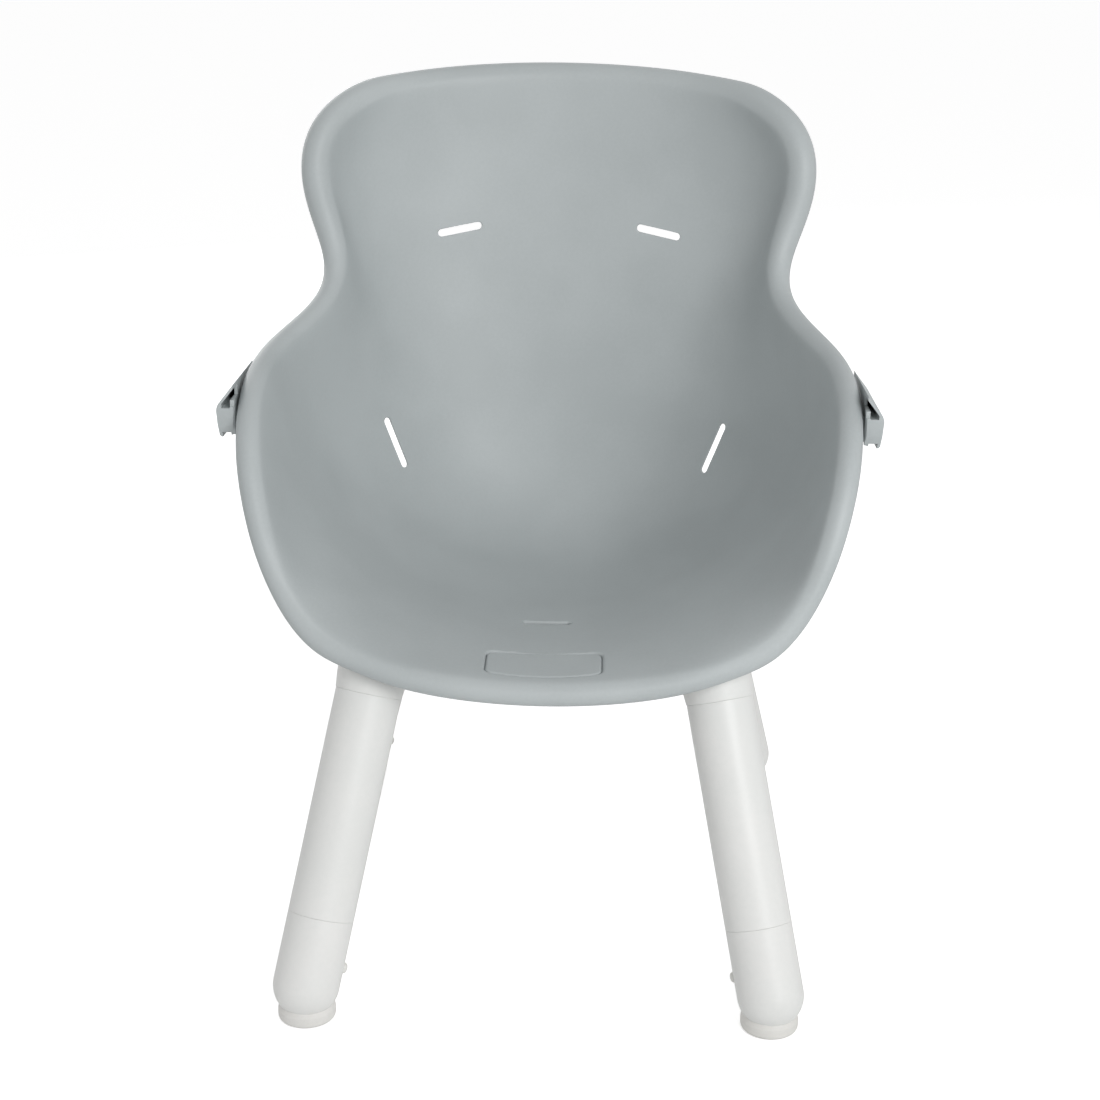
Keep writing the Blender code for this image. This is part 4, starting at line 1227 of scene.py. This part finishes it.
base_top = seat_height + base_top_share * shell_rise
base = block(
    "moulded_seat_base",
    (-base_half_width, base_front_y, base_bottom), (base_half_width, base_rear_y, base_top),
    corner=base_corner, segments=base_corner_steps,
)
tray_hollow = block(
    "tray_hollow",
    (-base_half_width + base_wall, base_front_y + base_wall, base_bottom + base_plate),
    (base_half_width - base_wall, base_rear_y - base_wall, base_top + overrun),
    corner=base_corner - base_wall, segments=base_corner_steps,
)
combine(base, tray_hollow)
rib_foot = base_bottom + base_plate - join_lap
rib_end_x = base_half_width - join_lap
half_rib = base_rib / 2
for x in (base_rib_x, -base_rib_x):
    low = (x - half_rib, base_front_y + join_lap, rib_foot)
    high = (x + half_rib, base_rear_y - join_lap, base_top)
    combine(base, block("long_rib", low, high), "UNION")
for share in base_rib_y_shares:
    y = base_front_y + share * (base_rear_y - base_front_y)
    low, high = (-rib_end_x, y - half_rib, rib_foot), (rib_end_x, y + half_rib, base_top)
    combine(base, block("cross_rib", low, high), "UNION")
print("Base tray:", len(base.data.polygons), "faces")

# %% Collars and spigots
collar_step = 0.0003
collar_flare_step = 0.0014
collar_top_step = 0.0045
collar_flare_height = 0.010
collar_heights = {"front": 0.055, "rear": 0.088}
collar_round = 0.012
collar_sweep = 0.02
collar_round_steps = 8
collar_wall = 0.003
collar_flare = leg_radius + collar_flare_step
collar_top_radius = leg_radius + collar_top_step


def collar_profile(height):
    """A collar's outer shape, from its face up into the shell's underside."""
    return rounded(
        [
            (0, height, 0),
            (collar_top_radius, height, collar_round),
            (collar_flare, collar_flare_height, collar_sweep),
            (leg_radius + collar_step, 0, edge_round),
            (0, 0, 0),
        ],
        collar_round_steps,
    )


def collar_room_profile(height):
    """The hollow in a collar and the bore of its spigot."""
    return [
        (0, height - collar_wall),
        (collar_top_radius - collar_round, height - collar_wall),
        (collar_top_radius - collar_wall, height - collar_round),
        (collar_flare - collar_wall, collar_flare_height + collar_wall),
        (bore_radius, collar_wall),
        (bore_radius, -upper_spigot_length - overrun),
        (0, -upper_spigot_length - overrun),
    ]


spigot_profile = rounded(
    [
        (0, collar_wall / 2, 0),
        (spigot_radius, collar_wall / 2, 0),
        (spigot_radius, -upper_spigot_length, edge_round * 2),
        (0, -upper_spigot_length, 0),
    ]
)
for leg, (_, leg_frame) in leg_frames.items():
    height = collar_heights[leg.split("_")[0]]
    combine(base, spin("collar", collar_profile(height), leg_frame), "UNION")
    combine(base, spin("spigot", spigot_profile, leg_frame), "UNION")

shell_room = seat_cage("shell_room", roll_skirt + 2 * joint_gap)
room_wall = shell_wall + 2 * joint_gap
modify(
    shell_room, "room for the wall", "SOLIDIFY", thickness=room_wall, offset=2 * joint_gap / room_wall - 1
)
apply_modifiers(shell_room)
combine(base, wall_middle)
combine(base, shell_room)
for leg, (_, leg_frame) in leg_frames.items():
    height = collar_heights[leg.split("_")[0]]
    combine(base, spin("collar_room", collar_room_profile(height), leg_frame))
    drill_for_button(base, button_places[f"upper_button_{leg}"])
print("Base with collars:", len(base.data.polygons), "faces")

# %% Strap window and screw holes
strap_window_length = 0.056
strap_window_width = 0.024
window_corner = 0.004
window_corner_steps = 6
window_lip = 0.0008


def window_outline(widening):
    """The strap window in plan, with round corners, drawn outwards by a widening."""
    half_x = strap_window_length / 2 + widening
    half_y = strap_window_width / 2 + widening
    corner = window_corner + widening
    corners = ((half_x, -half_y), (half_x, half_y), (-half_x, half_y), (-half_x, -half_y))
    return rounded([(x, y, corner) for x, y in corners], window_corner_steps)


window_steps = [(-overrun, window_lip), *lip(window_lip), (base_plate + overrun, 0)]
window = loft(
    "strap_window",
    [
        [(x, crotch_slot_y + y, base_bottom + depth) for x, y in window_outline(widening)]
        for depth, widening in window_steps
    ],
)
combine(base, window)
for spot in base_screws.values():
    start, tip = spot - overrun * up, spot + (base_plate + joint_gap / 2) * up
    drill(base, screw_radius + joint_gap, start, tip)
finish_piece(base, "seat_base", white_polypropylene)
print("Finished base:", len(base.data.polygons), "faces")

# %% [markdown]
# ## Tray brackets
# A C-shaped moulding outside each arm carries the tray. Its roof slopes down beside the seat's rolled rim
# to a round nose. Under the roof is a deep hollow for the tray's rail, closed at the far end, where the
# photograph shows it dark. At its mouth the plate beside the seat is cut down to a low stub, and a cheek
# stands back from the front wall and narrows the gap to the rim. Below the web is a pocket that reaches
# the two screws. The section is drawn flat, extruded along the arm and cut, and its edges are bevelled.

# %% Bracket sections
bracket_width = 0.0118
bracket_skin = 0.0018
bracket_nose_wall = 0.0036
bracket_side_wall = 0.0029
bracket_plate = 0.0022
bracket_roof_angle = 52
bracket_nose_radius = 0.0100
bracket_nose_share = 0.49
bracket_tip_share = 0.70
bracket_tip_radius = 0.0022
nose_end_degrees = -8
tip_end_degrees = -110
nose_steps = 12
tip_steps = 10
bracket_web_share = 0.55
bracket_web_thickness = 0.0022
bracket_front_wall = 0.0025
bracket_chamfer_height = 0.0095
bracket_chamfer_depth = 0.004
bracket_stub_height = 0.0055
bracket_mouth_depth = 0.020
bracket_end_wall = 0.0025
cheek_reach = 0.0007
cheek_setback = 0.0015
cheek_thickness = 0.005
screw_head_radius = 0.004
screw_head_height = 0.0024
access_gap = 0.0006
bracket_slope = math.tan(math.radians(bracket_roof_angle))


def bracket_outline():
    """The section, x outwards and y up: an inner side, a roof, a round nose and a tip."""
    nose_centre = (bracket_width - bracket_nose_radius, bracket_nose_share * bracket_height)
    nose = arc(nose_centre, bracket_nose_radius, 90 - bracket_roof_angle, nose_end_degrees, nose_steps)
    tip_centre = (bracket_tip_share * bracket_width, bracket_tip_radius)
    tip = arc(tip_centre, bracket_tip_radius, nose_end_degrees, tip_end_degrees, tip_steps)
    ridge = nose[0][1] + nose[0][0] * bracket_slope
    return [(0, bracket_tip_radius), (0, ridge)] + nose + tip


bracket_floor = bracket_web_share * bracket_height
bracket_ceiling = bracket_outline()[1][1] - bracket_skin / math.cos(math.radians(bracket_roof_angle))
hollow_outer = bracket_width - bracket_nose_wall
hollow_side = [
    (hollow_outer, max(bracket_ceiling - bracket_slope * hollow_outer, bracket_floor + join_lap)),
    (hollow_outer, bracket_floor),
]


def bracket_hollow():
    """The hollow under the roof, with the plate beside the seat."""
    plate_top = bracket_ceiling - bracket_slope * bracket_plate
    return [(bracket_plate, bracket_floor), (bracket_plate, plate_top)] + hollow_side


def bracket_mouth(stub_height):
    """The same hollow, open to the seat above a stub of the plate."""
    stub_top = bracket_floor + stub_height
    inner_side = [(bracket_plate, bracket_floor), (bracket_plate, stub_top), (-overrun, stub_top)]
    return inner_side + [(-overrun, bracket_ceiling + bracket_slope * overrun)] + hollow_side


def bracket_pocket():
    """The pocket below the web, open at the bottom and behind."""
    roof = bracket_floor - bracket_web_thickness
    outer = bracket_width - bracket_side_wall
    tip = bracket_tip_share * bracket_width - bracket_skin / 2
    plate_side = [(bracket_plate, -overrun), (bracket_plate, roof)]
    return plate_side + [(outer, roof), (outer, roof / 2), (tip, -overrun)]


print("Bracket section:", len(bracket_outline()), "points")

# %% Brackets
bracket_edge = 0.0003
bracket_foot_z = bracket_top - bracket_height
front_y = bracket_front_y
rear_y = bracket_front_y + bracket_length
chamfer_outline = [
    (front_y - overrun, bracket_foot_z - overrun),
    (front_y + bracket_chamfer_depth, bracket_foot_z - overrun),
    (front_y + bracket_chamfer_depth, bracket_foot_z),
    (front_y, bracket_foot_z + bracket_chamfer_height),
    (front_y - overrun, bracket_foot_z + bracket_chamfer_height),
]
mouth_end = front_y + bracket_mouth_depth
cheek_front = front_y + cheek_setback


def along_arm(name, section, sign, start_y, end_y):
    """A section of the bracket, run along the arm of one side."""
    rings = []
    for y in (start_y, end_y):
        rings.append([(sign * (bracket_inner_x + x), y, bracket_foot_z + z) for x, z in section])
    return loft(name, rings)


for side, sign in sides:
    bracket = along_arm(f"moulded_tray_bracket_{side}", bracket_outline(), sign, front_y, rear_y)
    for name, section, start_y, end_y in (
        ("hollow", bracket_hollow(), mouth_end - join_lap, rear_y - bracket_end_wall),
        ("mouth", bracket_mouth(bracket_stub_height), front_y - overrun, mouth_end),
        ("stub_front", bracket_mouth(join_lap), front_y - overrun, cheek_front),
        ("pocket", bracket_pocket(), front_y + bracket_front_wall, rear_y + overrun),
    ):
        combine(bracket, along_arm(name, section, sign, start_y, end_y))
    low_x, high_x = sorted((sign * (bracket_inner_x - cheek_reach), sign * (bracket_inner_x + bracket_plate)))
    cheek = block(
        "cheek", (low_x, cheek_front, bracket_foot_z + bracket_tip_radius),
        (high_x, cheek_front + cheek_thickness, bracket_foot_z + bracket_floor + bracket_stub_height),
    )
    combine(bracket, cheek, "UNION")
    ends = (sign * bracket_inner_x / 2, sign * bracket_inner_x * 2)
    combine(bracket, loft("chamfer", [[(x, y, z) for y, z in chamfer_outline] for x in ends]))
    out = Vector((sign, 0, 0))
    for end in ("front", "rear"):
        spot = bracket_screws[f"{end}_{side}"]
        plate_face, past_nose = spot + bracket_plate * out, spot + (bracket_width + overrun) * out
        drill(bracket, screw_radius + joint_gap, spot - overrun * out, past_nose)
        drill(bracket, screw_head_radius + access_gap, plate_face, past_nose)
    modify(
        bracket, "soften", "BEVEL", width=bracket_edge, segments=2,
        limit_method="ANGLE", angle_limit=math.radians(sharp_degrees),
    )
    apply_modifiers(bracket)
    finish_piece(bracket, f"tray_bracket_{side}", grey_polypropylene)
print("Bracket:", len(bracket.data.polygons), "faces")

# %% [markdown]
# ## Screws and springs
# The screws are pan heads with a cross recess, which a driver's tip leaves bright. They are spun like the
# legs and the recess is cut with two crossed bars. The leaf springs hide inside the tubes, so the frame's
# own solids serve, with rolled steel in place of their plain finish.

# %% Screws
recess_reach = 0.0022
recess_half_width = 0.00045
recess_depth = 0.0014
head_round_share = 0.7
head_round_steps = 6
screw_end_room = 0.0012


def screw_profile(length):
    """A pan-head screw: its shank up from zero and its head below."""
    return rounded(
        [
            (0, length, 0),
            (screw_radius / 2, length, 0),
            (screw_radius, length - screw_radius, 0),
            (screw_radius, 0, 0),
            (screw_head_radius, 0, 0),
            (screw_head_radius, -screw_head_height, head_round_share * screw_head_height),
            (0, -screw_head_height, 0),
        ],
        head_round_steps,
    )


def make_screw(name, place, length):
    """A finished screw, its shank along the placement's local Z axis."""
    screw = spin(f"cross_head_{name}", screw_profile(length), Matrix(), fine_steps)
    for turn in (0, math.pi / 2):
        bar = block(
            "recess",
            (-recess_reach, -recess_half_width, -screw_head_height - overrun),
            (recess_reach, recess_half_width, -screw_head_height + recess_depth),
        )
        bar.data.transform(Matrix.Rotation(turn, 4, "Z"))
        combine(screw, bar)
    screw.data.transform(place)
    finish_piece(screw, name, zinc_plate)


for name, spot in base_screws.items():
    place = Matrix.Translation(spot - joint_gap * up)
    make_screw(f"base_screw_{name}", place, base_screw_length - screw_end_room)
for name, spot in bracket_screws.items():
    out = Vector((math.copysign(1, spot.x), 0, 0))
    place = placed(spot + (bracket_plate + joint_gap) * out, -out, up)
    make_screw(f"bracket_screw_{name}", place, bracket_screw_length - screw_end_room)
print(len(base_screws) + len(bracket_screws), "screws")

# %% Springs
springs = [node for name, node in frame["nodes"].items() if "spring" in name]
for spring in springs:
    spring.data.materials.clear()
    spring.data.materials.append(spring_strip_steel)
print(len(springs), "springs")

# %% [markdown]
# ## Clearing up and measuring
# The construction surfaces have done their work. What is left is measured and its size printed: the finished
# chair has to fill the same space as the frame's box.

# %% Clear up and measure
for helper in (seat_surface, field):
    bpy.data.objects.remove(helper, do_unlink=True)
low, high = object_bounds()
print("Finished chair:", [round(side * 1000, 1) for side in high - low], "mm")
